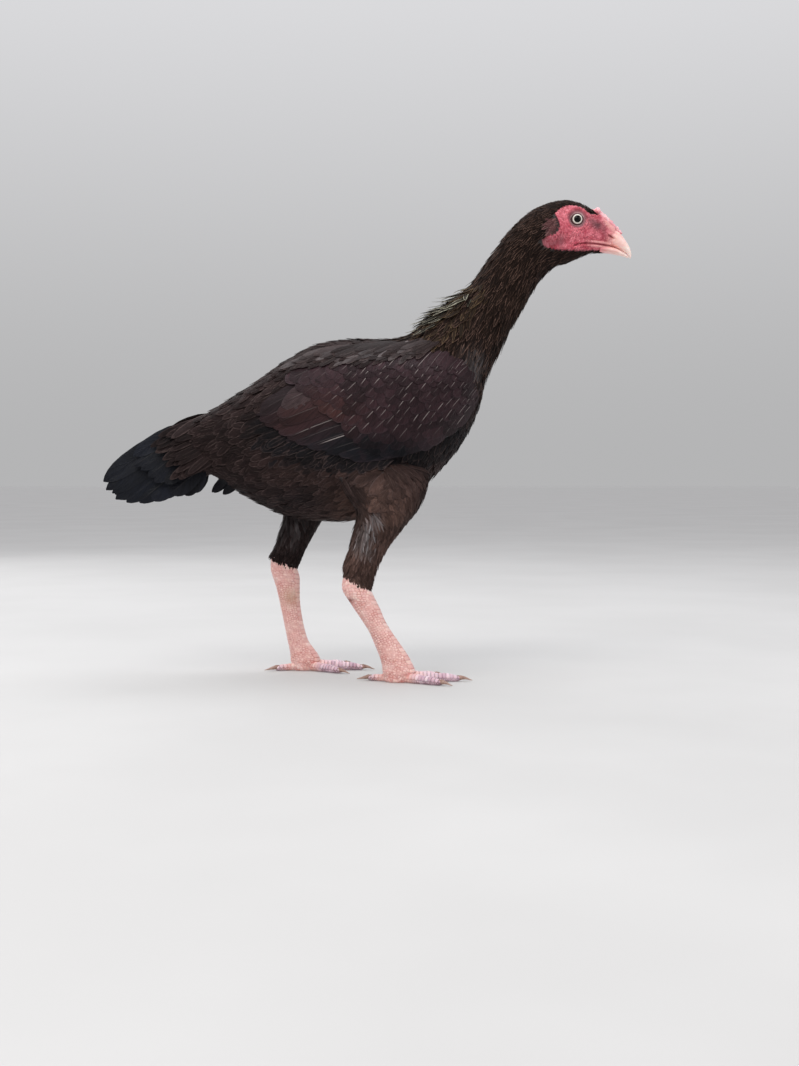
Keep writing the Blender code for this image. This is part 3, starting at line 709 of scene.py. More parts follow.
# Feather sizes along the body in millimetres: place in rows, gap on the back, gap on
# the belly, length as gaps, width as gaps.
COAT = [
    (0, 3.6, 3.4, 7.6, 1.7),
    (5, 4.0, 3.6, 7.6, 1.75),
    (9, 4.5, 3.8, 6.8, 1.9),
    (12, 4.5, 3.8, 6.2, 2.0),
    (14, 3.7, 3.5, 7.0, 1.8),
    (16, 2.9, 3.1, 9.0, 1.6),
    (19, 2.6, 2.8, 8.6, 1.5),
    (21, 2.1, 2.3, 6.6, 1.5),
    (22.5, 1.6, 1.8, 5.0, 1.6),
    (29, 1.25, 1.4, 4.6, 1.6),
]


def coat_sizes(where, up):
    """Return gap, length and width in metres of the feathers at places on the body."""
    table = np.array(COAT, float)
    back = np.interp(where, table[:, 0], table[:, 1])
    belly = np.interp(where, table[:, 0], table[:, 2])
    share = smooth_step(-0.6, 0.6, up)
    gap = (belly + (back - belly) * share) * MM
    length = np.interp(where, table[:, 0], table[:, 3]) * gap
    width = np.interp(where, table[:, 0], table[:, 4]) * gap
    return gap, length, width


def coat_depth(where):
    """Return how deep the skin lies under the coat along the body, in metres."""
    return np.interp(where, [0, 4, 14, 20, 22.5, 25], [2.0, 3.4, 3.4, 2.6, 1.5, 1.2]) * MM


TRACTS = {
    "coat_vent": (0.4, 2.5, -1.1, 1.1, "plumage"),
    "coat_rump": (2.5, 9.0, -0.15, 1.1, "plumage"),
    "coat_belly": (2.5, 9.0, -1.1, -0.15, "plumage"),
    "coat_back": (9.0, 14.0, 0.0, 1.1, "plumage"),
    "coat_breast": (9.0, 14.0, -1.1, 0.0, "plumage"),
    "coat_hackle": (14.0, 18.0, -1.1, 1.1, "hackle"),
    "coat_neck": (18.0, 21.5, -1.1, 1.1, "hackle"),
    "coat_head": (21.5, 28.6, -1.1, 1.1, "hackle"),
}


# How the feathers lie, as places in rows and values there: their droop down the sides,
# how much their headings stray, and how far their tips may stand out in millimetres.
DROOP = ([0, 6, 12, 14, 17, 21, 24, 29], [0.05, 0.3, 0.3, 0.25, 0.1, 0.15, 0.25, 0.1])
STRAY = ([6, 12], [0.2, 0.1])
TIP_LIFT = ([0, 8, 14, 16, 20, 22.5], [2.4, 1.7, 1.1, 1.9, 1.6, 0.7])


def hanging(s, t, turn, droop):
    """Return headings back along the body that droop down its sides."""
    back = -unit(BODY_FORM.read(BODY_FORM.along, s, t))
    down = unit(BODY_FORM.read(BODY_FORM.around, s, t)) * np.sign(np.sin(turn))[:, None]
    return back * np.cos(droop)[:, None] + down * np.sin(droop)[:, None]


def add_body_coat(name, seed, length_share):
    """Lay one tract of body feathers."""
    low, high, low_up, high_up, slot = TRACTS[name]
    rng = np.random.default_rng(seed)
    where = np.linspace(0, BODY_END, BODY_FORM.rows)[:, None]
    angle = turns_of(BODY_COLUMNS)[None, :]
    up = np.cos(angle)
    gap, _, _ = coat_sizes(where, up)
    x, y, z = in_tables(BODY_FORM.points)
    grows = (where >= low) & (where < high) & (up >= low_up) & (up < high_up)
    grows &= ~((inside(x, z, WING_OUTLINE) > 13) & (np.abs(y) > 25))
    grows &= ~((inside(x, z, FACE_EDGE) > 2) & (where > HEAD_START))
    s, t, _ = sown(BODY_FORM, np.where(grows, gap, 0), rng)
    x, y, z = in_tables(BODY_FORM.read(BODY_FORM.points, s, t))
    fringe = inside(x, z, FACE_EDGE)
    kept = (fringe < rng.normal(-0.5, 0.75, len(s))) | (s < HEAD_START * BODY_STEPS)
    s, t, fringe = s[kept], t[kept], fringe[kept]
    where = s / BODY_STEPS
    angle = t * math.tau / BODY_COLUMNS
    up = np.cos(angle)
    _, length, width = coat_sizes(where, up)
    length = length * rng.uniform(0.85, 1.15, len(s)) * length_share
    width = width * rng.uniform(0.9, 1.1, len(s))
    if name == "coat_head":
        short = smooth_step(-4, 0.5, fringe)
        length = length * (1 - 0.5 * short)
        width = width * (1 - 0.55 * short)
    droop = np.interp(where, *DROOP) * np.abs(np.sin(angle))
    droop = droop + rng.normal(0, 1, len(s)) * np.interp(where, *STRAY)
    heading = hanging(s, t, angle, droop)
    depth = coat_depth(where)
    tip = (0.1 + rng.random(len(s)) ** 1.6 * np.interp(where, *TIP_LIFT)) * MM
    vane = VANES["hackle"] if slot == "hackle" else VANES["body"]
    if name == "coat_head":
        vane = VANES["small"]
    points = BODY_FORM.read(BODY_FORM.points, s, t)
    marks = marks_and_shade(points)
    x, y, z = in_tables(points)
    ear = oval(x - EAR_TIPS, z, EAR)
    # Painted shadow round the ear tuft's rim, and painted shade in the ear's opening, both in the smoke
    # share.
    marks[:, 3] = np.maximum(marks[:, 3], hump(ear, 1.12, 0.14))
    hole = np.hypot(x - EAR[0] + 1, z - EAR[1] + 1)
    marks[:, 3] = np.maximum(marks[:, 3], 0.9 * smooth_step(3.0, 1.2, hole))
    marks[:, 2] = np.where(ear < 1, 0, marks[:, 2])
    pieces = [(name, slot, np.ones(len(s), bool))]
    if name == "coat_head":
        pieces = [(name, slot, ear >= 1), ("coat_ears", "ear", ear < 1)]
    made = []
    for piece, look, here in pieces:
        thing = feathered(
            piece, BODY_FORM, s[here], t[here], heading[here], length[here], width[here],
            -0.8 * depth[here], tip[here], vane, rng,
        )
        mark_feathers(thing, vane, marks[here], rng)
        made.append(carried(thing, slot, look))
    return made


# Capes of hackles at the nape's base: first and last row, half turn, gap, finish, and
# how far they stand out.
NAPES = {
    "coat_nape": (14.2, 17.8, 1.25, 4.3, "nape", 4.0),
    "coat_nape_tips": (14.6, 17.2, 0.75, 5.0, "nape_tips", 9.0),
}


def add_nape(name, seed, lift_share):
    """Lay one cape of the hackles that stand out at the base of the nape."""
    rng = np.random.default_rng(seed)
    low, high, turn_limit, apart, look, height = NAPES[name]
    height = height * lift_share
    where = np.linspace(0, BODY_END, BODY_FORM.rows)[:, None]
    angle = turns_of(BODY_COLUMNS)[None, :]
    turn = np.minimum(angle, math.tau - angle)
    grows = (where > low) & (where < high) & (turn < turn_limit)
    s, t, _ = sown(BODY_FORM, np.where(grows, apart * MM, 0), rng)
    where = s / BODY_STEPS
    turn = t * math.tau / BODY_COLUMNS
    droop = 0.35 * np.abs(np.sin(turn)) + rng.normal(0, 0.25, len(s))
    heading = hanging(s, t, turn, droop)
    length = rng.uniform(18, 26, len(s)) * MM
    width = rng.uniform(3.8, 5.4, len(s)) * MM
    stand = smooth_step(14.0, 15.6, where) * np.clip(np.cos(turn) + 0.35, 0.15, 1)
    tip = (0.6 + rng.random(len(s)) ** 1.2 * height * stand) * MM
    curl = rng.uniform(-0.3, 0.5, len(s)) * height * stand * MM
    vane = VANES["hackle"]
    thing = feathered(name, BODY_FORM, s, t, heading, length, width, -2.0 * MM, tip, vane, rng, curl)
    mark_feathers(thing, vane, marks_and_shade(BODY_FORM.read(BODY_FORM.points, s, t)), rng)
    return carried(thing, "hackle", look)


VANES = {
    "body": Vane(BODY_VANE, FINE_ACROSS, 0.22 * MM, 0.2 * MM, 0.05 * MM),
    "hackle": Vane(HACKLE, FINE_ACROSS, 0.25 * MM, 0.2 * MM, 0.06 * MM),
    "small": Vane(SMALL_VANE, FINE_ACROSS, 0.12 * MM, 0.15 * MM, 0.03 * MM),
    "covert": Vane(
        [(0, 0.4), (0.15, 0.75), (0.4, 0.97), (0.62, 1), (0.78, 0.9), (0.89, 0.7), (0.96, 0.42),
         (1, 0.12)],
        (-1, -0.6, -0.2, 0, 0.2, 0.6, 1), 0.3 * MM, 0.18 * MM, 0.1 * MM,
    ),
    "tail": Vane(
        [(0, 0.3), (0.1, 0.6), (0.3, 0.92), (0.52, 1), (0.7, 0.95), (0.82, 0.82), (0.9, 0.62),
         (0.96, 0.36), (1, 0.05)],
        BROAD_ACROSS, 0.4 * MM, 0.26 * MM, 0.2 * MM,
    ),
    "broad": Vane(
        [(0, 0.3), (0.08, 0.55), (0.2, 0.82), (0.36, 0.96), (0.52, 1), (0.68, 0.98), (0.8, 0.9),
         (0.89, 0.74), (0.95, 0.52), (0.985, 0.28), (1, 0.08)],
        BROAD_ACROSS, 0.4 * MM, 0.26 * MM, 0.2 * MM,
    ),
}


# Flight feathers and coverts, laid in side view over the flank or the tail.
def bow(points, share):
    """Return side-view places on the smooth line through a top, middle and bottom."""
    top, middle, bottom = (np.array(point, float) for point in points)
    pull = 2 * middle - (top + bottom) / 2
    share = np.asarray(share)[:, None]
    first = top + (pull - top) * share
    second = pull + (bottom - pull) * share
    return first + (second - first) * share


def toward(slope):
    """Return side-view directions at slopes in radians."""
    return np.stack([np.cos(slope), np.sin(slope)], axis=-1)


def laid(surface, side, roots, tips, width, root_lift, tip_lift, rise, vane, least=0.6):
    """Lay vanes over a side-view surface, and return their grid of points."""
    line = unit(tips - roots)
    over = np.stack([-line[:, 1], line[:, 0]], axis=-1)
    over = np.where(over[:, 1:] < 0, -over, over)
    v = vane.v[None, :, :, None]
    u = vane.u[None, :, :, None] * vane.width[None, :, :, None]
    sag = np.sin(math.pi * vane.v)[None, :, :, None] * 0.02
    span = np.linalg.norm(tips - roots, axis=1)[:, None, None, None]
    flat = roots[:, None, None, :] + (tips - roots)[:, None, None, :] * v
    flat = flat + over[:, None, None, :] * (u * width[:, None, None, None] / 2 + sag * span)
    share = vane.v[None]
    lift = root_lift[:, None, None] + (tip_lift - root_lift)[:, None, None] * share
    tilt = -rise[:, None, None] * (vane.u * vane.width)[None] * (0.3 + 0.7 * share)
    y = surface(flat[..., 0], flat[..., 1]) + lift + tilt + vane.lift[None] / MM
    return placed(flat[..., 0], side * np.maximum(y, least), flat[..., 1])


WING_THICKNESS = ((-118, 5), (-80, 5.5), (-40, 7.5), (0, 9.5), (70, 10.5), (98, 8), (112, 3))


def wing_swell(x, z):
    """Return how far the folded wing stands off the flank at side-view places, in mm."""
    places, depths = zip(*WING_THICKNESS)
    full = np.interp(x, places, depths)
    return full * (0.28 + 0.67 * smooth_step(0, 26, inside(x, z, WING_OUTLINE)))


def over_wing(x, z):
    """Return how far from the middle plane the folded wing's surface lies, in mm."""
    return flank(x, z) + wing_swell(x, z)


# Flight feathers: name, count, line of tips, lengths, width, lifts at root and tip,
# tilt, slope in degrees.
FLIGHTS = [
    ("primaries", 9, ((-104, 252), (-76, 232), (-30, 218.5)), (120, 96), 13, -4.6, -3.2, 0.7, (17, 6)),
    ("secondaries", 13, ((-112, 262), (-70, 235), (-6, 219)), (104, 76), 20, -3.0, -1.2, 0.7, (24, 12)),
    ("tertials", 4, ((-82, 275), (-88, 265), (-86, 254)), (62, 78), 20, -2.2, -0.3, 0.5, (22, 19)),
]
# Lines of covert roots from the rearmost to the foremost: top, middle, bottom, then
# feather length, width and rows up to the next line.
COVERTS = [
    (((-46, 317), (-6, 283), (42, 240)), 42, 20, 4),
    (((-8, 326), (30, 297), (76, 249)), 34, 17, 4),
    (((36, 328), (67, 305), (99, 263)), 28, 14, 4),
    (((76, 323), (96, 306), (110, 278)), 18, 10, 3),
    (((98, 311), (107, 299), (112, 286)), 12, 8, 1),
]
COVERT_SPACING = 7.8
WING_MARGIN = 0.8
# The secondaries whose pale shafts show, and how plainly.
PLAIN_SHAFTS = {8: 1.0, 5: 0.45}


def covert_slope(x, z):
    """Return how steeply the coverts run up to their roots, in radians."""
    slope = np.interp(x, [-70, -30, 0, 50, 110], [22, 31, 40, 48, 50])
    return np.radians(slope - 20 * smooth_step(258, 226, z))


def covert_rows(rng):
    """Return the coverts' roots, tips and widths, shortened to end on the wing."""
    roots, tips, widths = [], [], []
    number = 0
    for here, ahead in zip(COVERTS, COVERTS[1:]):
        for row in range(here[3]):
            share = row / here[3]
            ends, length, width = (
                np.array(a, float) + (np.array(b, float) - np.array(a, float)) * share
                for a, b in zip(here[:3], ahead[:3])
            )
            span = math.dist(ends[0], ends[1]) + math.dist(ends[1], ends[2])
            count = max(3, round(span / COVERT_SPACING))
            along = np.clip((np.arange(count) + 0.25 + 0.5 * (number % 2)) / count, 0, 1)
            root = bow(ends, along) + rng.normal(0, 0.7, (count, 2))
            slope = covert_slope(root[:, 0], root[:, 1]) + rng.normal(0, 0.05, count)
            reach = length * rng.uniform(0.92, 1.08, count)
            way = -toward(slope)
            for _ in range(8):
                tip = root + way * reach[:, None]
                off = inside(tip[:, 0], tip[:, 1], WING_OUTLINE) < WING_MARGIN
                reach = np.where(off, reach * 0.88, reach)
            roots.append(root)
            tips.append(root + way * reach[:, None])
            widths.append(width * rng.uniform(0.93, 1.07, count))
            number += 1
    return np.vstack(roots), np.vstack(tips), np.concatenate(widths)


def shaft_shares(middle, rng):
    """Return how plainly each covert's shaft shows: most over the wing's upper front."""
    x, z = middle[:, 0], middle[:, 1]
    plain = smooth_step(-45, 0, x) * smooth_step(238, 268, z)
    return np.clip((0.1 + 0.75 * plain) * rng.random(len(x)) ** 1.2, 0, 1)


def add_wing(word, seed):
    """Lay one folded wing: its flesh, flight feathers and coverts."""
    side = SIDES[word]
    rng = np.random.default_rng(seed)
    vane = VANES["broad"]
    grids, all_roots, all_tips, shafts = [], [], [], []
    for name, count, line, lengths, width, root_lift, tip_lift, lean, slopes in FLIGHTS:
        share = np.linspace(0, 1, count)
        tips = bow(line, share) + rng.normal(0, 1.0, (count, 2))
        slope = np.radians(np.interp(share, [0, 1], slopes)) + rng.normal(0, 0.012, count)
        reach = np.interp(share, [0, 1], lengths)
        roots = tips + toward(slope) * reach[:, None]
        full = np.ones(count)
        grids.append(laid(
            over_wing, side, roots, tips, full * width, full * root_lift,
            tip_lift + rng.uniform(-0.1, 0.1, count), full * lean, vane,
        ))
        all_roots.append(roots)
        all_tips.append(tips)
        plain = rng.uniform(0.0, 0.16, count)
        if name == "secondaries":
            for place, share in PLAIN_SHAFTS.items():
                plain[place] = share
        shafts.append(plain)
    roots, tips = np.vstack(all_roots), np.vstack(all_tips)
    flights = repeated("flight_feathers_" + word, np.concatenate(grids), vane)
    place_wing(flights, vane, roots, tips, np.concatenate(shafts), rng)
    vane = VANES["covert"]
    roots, tips, widths = covert_rows(rng)
    count = len(roots)
    grid = laid(
        over_wing, side, roots, tips, widths, np.full(count, -1.7), rng.uniform(0.0, 0.35, count),
        np.full(count, 0.35), vane,
    )
    coverts = repeated("wing_coverts_" + word, grid, vane)
    place_wing(coverts, vane, roots, tips, shaft_shares((roots + tips) / 2, rng), rng)
    core = wing_core(word)
    for thing in (flights, coverts):
        carried(thing, "wing_feather", "wing_feather", "wing_" + word)
    return flights, coverts, core


def place_wing(thing, vane, roots, tips, shafts, rng):
    """Give wing feathers their places on the unwrap and their markings."""
    x, z = roots.T
    set_bake(thing, vane, np.clip((x + 130) / 260, 0, 1), np.clip((z - 205) / 140, 0, 1))
    middle = roots + (tips - roots) * 0.75
    mark_feathers(thing, vane, wing_markings(middle[:, 0], middle[:, 1]), rng, shafts)


def wing_core(word):
    """Make the flesh of a wing under its coverts."""
    side = SIDES[word]
    row = rows_at(WING_CORE, np.linspace(0.6, len(WING_CORE) - 1, 57))[:, None, :]
    share = np.linspace(0.04, 0.96, 25)[None, :]
    x = row[..., 0] + (row[..., 2] - row[..., 0]) * share
    z = row[..., 1] + (row[..., 3] - row[..., 1]) * share
    width = flank(x, z)
    outer = placed(x, side * (over_wing(x, z) - 4.2), z)
    inner = placed(x, side * (width - 6), z)
    grid = np.concatenate([outer, inner[:, ::-1]], axis=1)
    thing = tube("wing_flesh_" + word, grid)
    set_marks(thing, marks_and_shade(mesh_points(thing)[0]))
    return carried(thing, "wing_feather", "skin")


# Lines of scapular roots along the back, from the wing outwards: ends x, z, slopes in
# degrees at both ends, length and width.
SCAPULARS = [
    ((-56, 320), (66, 329), (24, 34), 30, 5.8, 34),
    ((-48, 323), (70, 332), (22, 32), 32, 5.8, 34),
    ((-40, 326), (64, 333), (20, 28), 34, 5.8, 30),
    ((-30, 328), (58, 334), (18, 24), 34, 5.4, 26),
]


def add_scapulars(seed):
    """Lay the long feathers of the back, whose ends lie over the wings' upper edges."""
    rng = np.random.default_rng(seed)
    vane = VANES["covert"]
    grids, all_roots, all_tips = [], [], []
    for side in SIDES.values():
        for row, (rear, front, slopes, length, width, count) in enumerate(SCAPULARS):
            share = (np.arange(count) + rng.uniform(0.1, 0.9, count)) / count
            roots = np.array(rear) + (np.array(front) - np.array(rear)) * share[:, None]
            roots = roots + rng.normal(0, 0.8, (count, 2))
            slope = np.radians(np.interp(share, [0, 1], slopes)) + rng.normal(0, 0.09, count)
            reach = length * rng.uniform(0.75, 1.15, count)
            reach = reach * np.interp(share, [0, 0.8, 1], [1.1, 1, 0.7])
            tips = roots - toward(slope) * reach[:, None]
            grids.append(laid(
                over_wing, side, roots, tips, width * rng.uniform(0.85, 1.15, count),
                np.full(count, -1.0 + 0.3 * row), rng.uniform(0.5, 1.3, count) + 0.3 * row,
                np.full(count, 0.4), vane,
            ))
            all_roots.append(roots)
            all_tips.append(tips)
    roots, tips = np.vstack(all_roots), np.vstack(all_tips)
    thing = repeated("coat_scapulars", np.concatenate(grids), vane)
    set_bake(thing, vane, np.arange(len(roots)) / len(roots), np.clip((roots[:, 1] - 310) / 30, 0, 1))
    middle = roots + (tips - roots) * 0.6
    marks = wing_markings(middle[:, 0], middle[:, 1])
    marks[:, 1] = np.maximum(marks[:, 1], rng.random(len(roots)) ** 2 * 0.2)
    mark_feathers(thing, vane, marks, rng)
    return carried(thing, "plumage", "plumage")


# Tail feathers: count, lines of roots and of tips, width, lifts at root and tip, tilt,
# how much lower each one lies than the one before.
TAIL_TIERS = [
    (
        8, ((-184, 250), (-176, 228), (-168, 208)), ((-264, 196), (-247, 177), (-199, 183)),
        21, -6, 5.4, 0.3, 0.75,
    ),
    (
        6, ((-182, 252), (-174, 238), (-168, 222)), ((-236, 222), (-224, 203), (-204, 192)),
        17, -3, 9.0, 0.3, 0.5,
    ),
    (
        5, ((-170, 214), (-167, 210), (-165, 206)), ((-208, 187), (-194, 183), (-178, 185)),
        15, -8, -3, 0.3, 0.8,
    ),
]
# Loose brown coverts over the tail's root.
TAIL_COVERTS = [
    (
        13, ((-172, 258), (-166, 240), (-160, 216)), ((-214, 236), (-206, 216), (-186, 194)),
        9, -3, 11.0, 0.4, 0.22,
    ),
    (
        15, ((-162, 263), (-156, 243), (-152, 218)), ((-202, 243), (-194, 222), (-178, 198)),
        8, -3, 12.6, 0.4, 0.2,
    ),
]
# Plumes under the tail's root, laid over the flank in the same way.
VENT_PLUMES = (
    3, ((-128, 212), (-118, 206), (-106, 200)), ((-157, 185), (-146, 183), (-131, 184)),
    10, -3, 0.6, 0.2, 0.2,
)
# How far the tips stray from their line, in millimetres.
STRAY_TIPS = {"tail_feather": 1.6, "plumage": 3.6}


def add_tail(name, slot, tiers, seed):
    """Lay tiers of the tented tail's feathers or coverts on both sides."""
    rng = np.random.default_rng(seed)
    vane = VANES["tail" if slot == "tail_feather" else "body"]
    grids, all_roots, all_middles = [], [], []
    for side in SIDES.values():
        for tier in tiers:
            count, root_line, tip_line, width, root_lift, tip_lift, lean, drop = tier
            share = np.linspace(0, 1, count)
            roots = bow(root_line, share)
            tips = bow(tip_line, share) + rng.normal(0, STRAY_TIPS[slot], (count, 2))
            full = np.ones(count)
            grids.append(laid(
                flank if tier is VENT_PLUMES else tail_half, side, roots, tips,
                width * rng.uniform(0.9, 1.1, count), full * root_lift,
                tip_lift - drop * np.arange(count), full * lean, vane,
            ))
            all_roots.append(roots)
            all_middles.append(roots + (tips - roots) * 0.7)
    thing = repeated(name, np.concatenate(grids), vane)
    roots, middles = np.vstack(all_roots), np.vstack(all_middles)
    order = np.arange(len(roots)) / len(roots)
    set_bake(thing, vane, order, np.clip((roots[:, 1] - 200) / 60, 0, 1))
    shafts = rng.uniform(0.0, 0.5, len(roots))
    marks = marks_and_shade(placed(middles[:, 0], 0.0, middles[:, 1]))
    mark_feathers(thing, vane, marks, rng, shafts)
    return carried(thing, slot, slot, "tail")


# The thighs' feathers.
LEG_STEPS = 10
LEG_COLUMNS = 72


def thigh_form(word):
    """Return one thigh's outer surface, from flank to hock."""
    rows = THIGHS[word]
    count = (len(rows) - 1) * LEG_STEPS + 1
    where = np.linspace(0, len(rows) - 1, count)
    return Form(leg_points(rows, SIDES[word], where, turns_of(LEG_COLUMNS)))


# How plainly the pale streaks show on each thigh.
FLUFF = {"right": 1.0, "left": 0.25}


def add_thigh_coat(word, seed, streaks):
    """Lay the feathers of one thigh, down to their edge over the shank."""
    rng = np.random.default_rng(seed)
    form = thigh_form(word)
    down = np.linspace(0, 1, form.rows)[:, None] * np.ones((1, LEG_COLUMNS))
    gap = np.interp(down, [0, 0.5, 0.8, 1], [3.8, 3.3, 2.2, 1.5]) * MM
    x, _, z = in_tables(form.points)
    rows = THIGHS[word]
    middle = (rows[1][0] + rows[1][2]) / 2
    gap = np.where((z < 201) | ((x > middle) & (z < 214)), gap, 0)
    s, t, gaps = sown(form, gap, rng)
    share = s / (form.rows - 1)
    length = gaps * np.interp(share, [0, 0.6, 0.85, 1], [7.2, 7.0, 5.6, 3.6])
    length = length * rng.uniform(0.85, 1.15, len(s))
    width = gaps * rng.uniform(1.5, 1.9, len(s))
    heading = unit(form.read(form.along, s, t))
    around = unit(form.read(form.around, s, t))
    lean = -0.22 * np.sin(t * math.tau / LEG_COLUMNS) + rng.normal(0, 0.1, len(s))
    heading = unit(heading + around * lean[:, None])
    tip = rng.uniform(0.1, 0.8, len(s)) * MM
    points = form.read(form.points, s, t)
    marks = marks_and_shade(points)
    x, _, z = in_tables(points)
    fluff = np.exp(-(((x - middle + 12) / 11) ** 4) - ((z - 156) / 20) ** 4)
    fluff = fluff * FLUFF[word] * streaks
    marks[:, 1] = np.maximum(marks[:, 1], fluff * rng.random(len(s)) ** 1.6)
    width = np.where(fluff > 0.3, width * 0.5, width)
    vane = VANES["hackle"]
    thing = feathered(
        "coat_thigh_" + word, form, s, t, heading, length, width, -2.6 * MM, tip, vane, rng,
    )
    mark_feathers(thing, vane, marks, rng)
    return carried(thing, "plumage", "plumage")


DRAPE_HEIGHT = (181, 226)
DRAPE_REACH = (-50, 46)
MISSED = -200.0
# A feather of the flank stays only where it lies this far out, and within this range.
DRAPE_LEAST = 36.0
DRAPE_RANGE = 13.0


def skin_side(side):
    """Return a reader of how far out the skin lies in side view, softened, in mm."""
    skin = bpy.data.objects["skin"]
    tree = BVHTree.FromPolygons(
        [tuple(point) for point in mesh_points(skin)[0]],
        [tuple(face.vertices) for face in skin.data.polygons],
    )

    def read(x, z):
        total = np.zeros(x.size)
        for off_x, off_z in ((0, 0), (6, 0), (-6, 0), (0, 6), (0, -6)):
            starts = placed(x.ravel() + off_x, side * 200.0, z.ravel() + off_z)
            for i, start in enumerate(starts.tolist()):
                hit = tree.ray_cast(start, (0, -side, 0))[0]
                total[i] += hit.y * side / MM if hit else MISSED
        return total.reshape(x.shape) / 5

    return read


def add_flank(word, seed):
    """Lay the feathers that hang from the flank over the top of one thigh."""
    rng = np.random.default_rng(seed)
    side = SIDES[word]
    rows = THIGHS[word]
    middle = (rows[1][0] + rows[1][2]) / 2
    low, high = DRAPE_HEIGHT
    darts = 5000
    ahead, up = rng.uniform(*DRAPE_REACH, darts), rng.uniform(low, high, darts)
    places = np.stack([middle + ahead, up, np.zeros(darts)], axis=-1)
    roots = places[keep_apart(places, np.full(darts, 4.0))][:, :2]
    count = len(roots)
    slope = np.radians(np.interp(roots[:, 0] - middle, [-50, 0, 60], [24, 40, 56]))
    slope = slope + rng.normal(0, 0.13, count)
    reach = rng.uniform(20, 28, count)
    tips = roots - toward(slope) * reach[:, None]
    vane = VANES["body"]
    surface = skin_side(side)
    grid = laid(
        surface, side, roots, tips, rng.uniform(7, 9.5, count), np.full(count, 1.2),
        3.3 + rng.random(count) ** 1.6 * 1.4, np.full(count, 0.2), vane,
    )
    out = np.abs(grid[..., 1]).reshape(count, -1) / MM
    lies = (out.min(axis=1) > DRAPE_LEAST) & (np.ptp(out, axis=1) < DRAPE_RANGE)
    roots, grid = roots[lies], grid[lies]
    thing = repeated("coat_flank_" + word, grid, vane)
    set_bake(
        thing, vane, np.clip((roots[:, 0] - middle - DRAPE_REACH[0]) / 115, 0, 1),
        np.clip((roots[:, 1] - low) / (high - low), 0, 1),
    )
    marks = marks_and_shade(placed(roots[:, 0], side * 40.0, roots[:, 1]))
    mark_feathers(thing, vane, marks, rng)
    return carried(thing, "plumage", "plumage")


# The skin of body, neck, head and thighs, with the face modelled in it.
def round_eye(x, z):
    """Return the distance from the eye's middle and the angle there, 0 to the front."""
    return np.hypot(x - EYE[0], z - EYE[2]), np.arctan2(z - EYE[2], x - EYE[0])


def oval(x, z, place):
    """Return how far out places lie in an oval, 1 on its edge."""
    cx, cz, rx, rz = place
    return np.hypot((x - cx) / rx, (z - cz) / rz)


def pebbles(points, size, seed=0.0):
    """Return the height of a pebbled skin at places in millimetres, from 0 to 1."""
    shift = Vector((seed, seed * 2, seed * 3))
    heights = [
        noise.voronoi(Vector(point) / size + shift)[0] for point in points.tolist()
    ]
    return np.array([min(1.0, max(0.0, (far[1] - far[0]) * 1.6)) for far in heights])


NOSTRIL = (240.9, 438.8)
NOSTRIL_PITCH = math.radians(-32)


def nostril(x, z):
    """Return the nostril's slit and the flap over it, each 0 to 1, in side view."""
    along = (x - NOSTRIL[0]) * math.cos(NOSTRIL_PITCH) + (z - NOSTRIL[1]) * math.sin(NOSTRIL_PITCH)
    across = (z - NOSTRIL[1]) * math.cos(NOSTRIL_PITCH) - (x - NOSTRIL[0]) * math.sin(NOSTRIL_PITCH)
    slit = np.exp(-((along / 3.9) ** 4) - ((across / 0.85) ** 2))
    flap = np.exp(-((along / 4.0) ** 4) - (((across - 2.1) / 1.4) ** 2))
    return slit, flap


# Folds below the eye: height, distance from the eye's middle, width. Swellings of the face,
# its painted shade and the band under the comb, in side view.
LID_FOLDS = [(0.75, 10.2, 1.0), (0.45, 13.0, 0.9), (-0.35, 11.7, 0.5)]
CHEEK_AND_JOWL = [(0.9, 211, 441, 9, 4.5), (2.0, 206, 427.4, 16, 2.8)]
LORE = [(0.18, 227, 442, 6, 9)]
PAINTED_SHADES = [
    (1.0, 226.5, 449.5, 6.4, 4.6),
    (0.6, 220, 454, 5, 3.6),
    (0.4, 233.5, 444, 3, 5),
    (0.7, 189.5, 433, 4.2, 7.5),
]
COMB_FOOT = [(233, 459), (252, 443)]


def face_relief(x, z):
    """Return how far the face stands out at side-view places, in millimetres."""
    rho, turn = round_eye(x, z)
    upper = smooth_step(-0.1, 0.7, np.sin(turn)) * smooth_step(-0.95, -0.3, np.cos(turn) + 0.4)
    lower = smooth_step(-0.1, 0.5, -np.sin(turn))
    relief = 1.7 * hump(rho, 11.2, 2.0) * upper - 0.7 * hump(rho, 8.6, 0.7)
    relief += sum(height * hump(rho, at, width) for height, at, width in LID_FOLDS) * lower
    relief += 0.16 * np.sin(turn * 22 + rho * 0.6) * hump(rho, 10.5, 2.2)
    relief += patches(x, z, CHEEK_AND_JOWL)
    relief += patches(x, z, LORE) * np.sin((z - 0.3 * x) * 2.4)
    lobe = oval(x, z, EAR_LOBE)
    relief += 2.0 * np.clip(1 - lobe**2, 0, 1) ** 0.7 * (1 + 0.16 * np.sin(x * 1.7 + z))
    ear = oval(x, z, EAR)
    relief += 0.9 * hump(ear, 1.15, 0.18) + 0.8 * np.clip(1 - ear**2, 0, 1)
    relief -= 0.6 * hump(lobe, 1.15, 0.16)
    gape = from_line(x, z, MOUTH)
    relief += 0.75 * hump(gape, 1.7, 0.9) - 1.9 * hump(gape, 0, 0.55)
    folds = np.sin((x - 0.55 * z) * 1.7) * hump(z, 438, 7) * smooth_step(220, 204, x)
    slit, flap = nostril(x, z)
    return relief + 0.22 * folds + 0.9 * flap - 1.9 * slit


def cere(x, z):
    """Return 0 on the red face and 1 on the pale bill, with a long soft change between."""
    return smooth_step(228, 245, x - 0.5 * (z - 432))


def eye_ball(rho):
    """Return how far out the eye's surface lies at a distance from its middle."""
    return EYE[1] + np.sqrt(np.clip(EYE_RADIUS**2 - rho**2, 0, None))


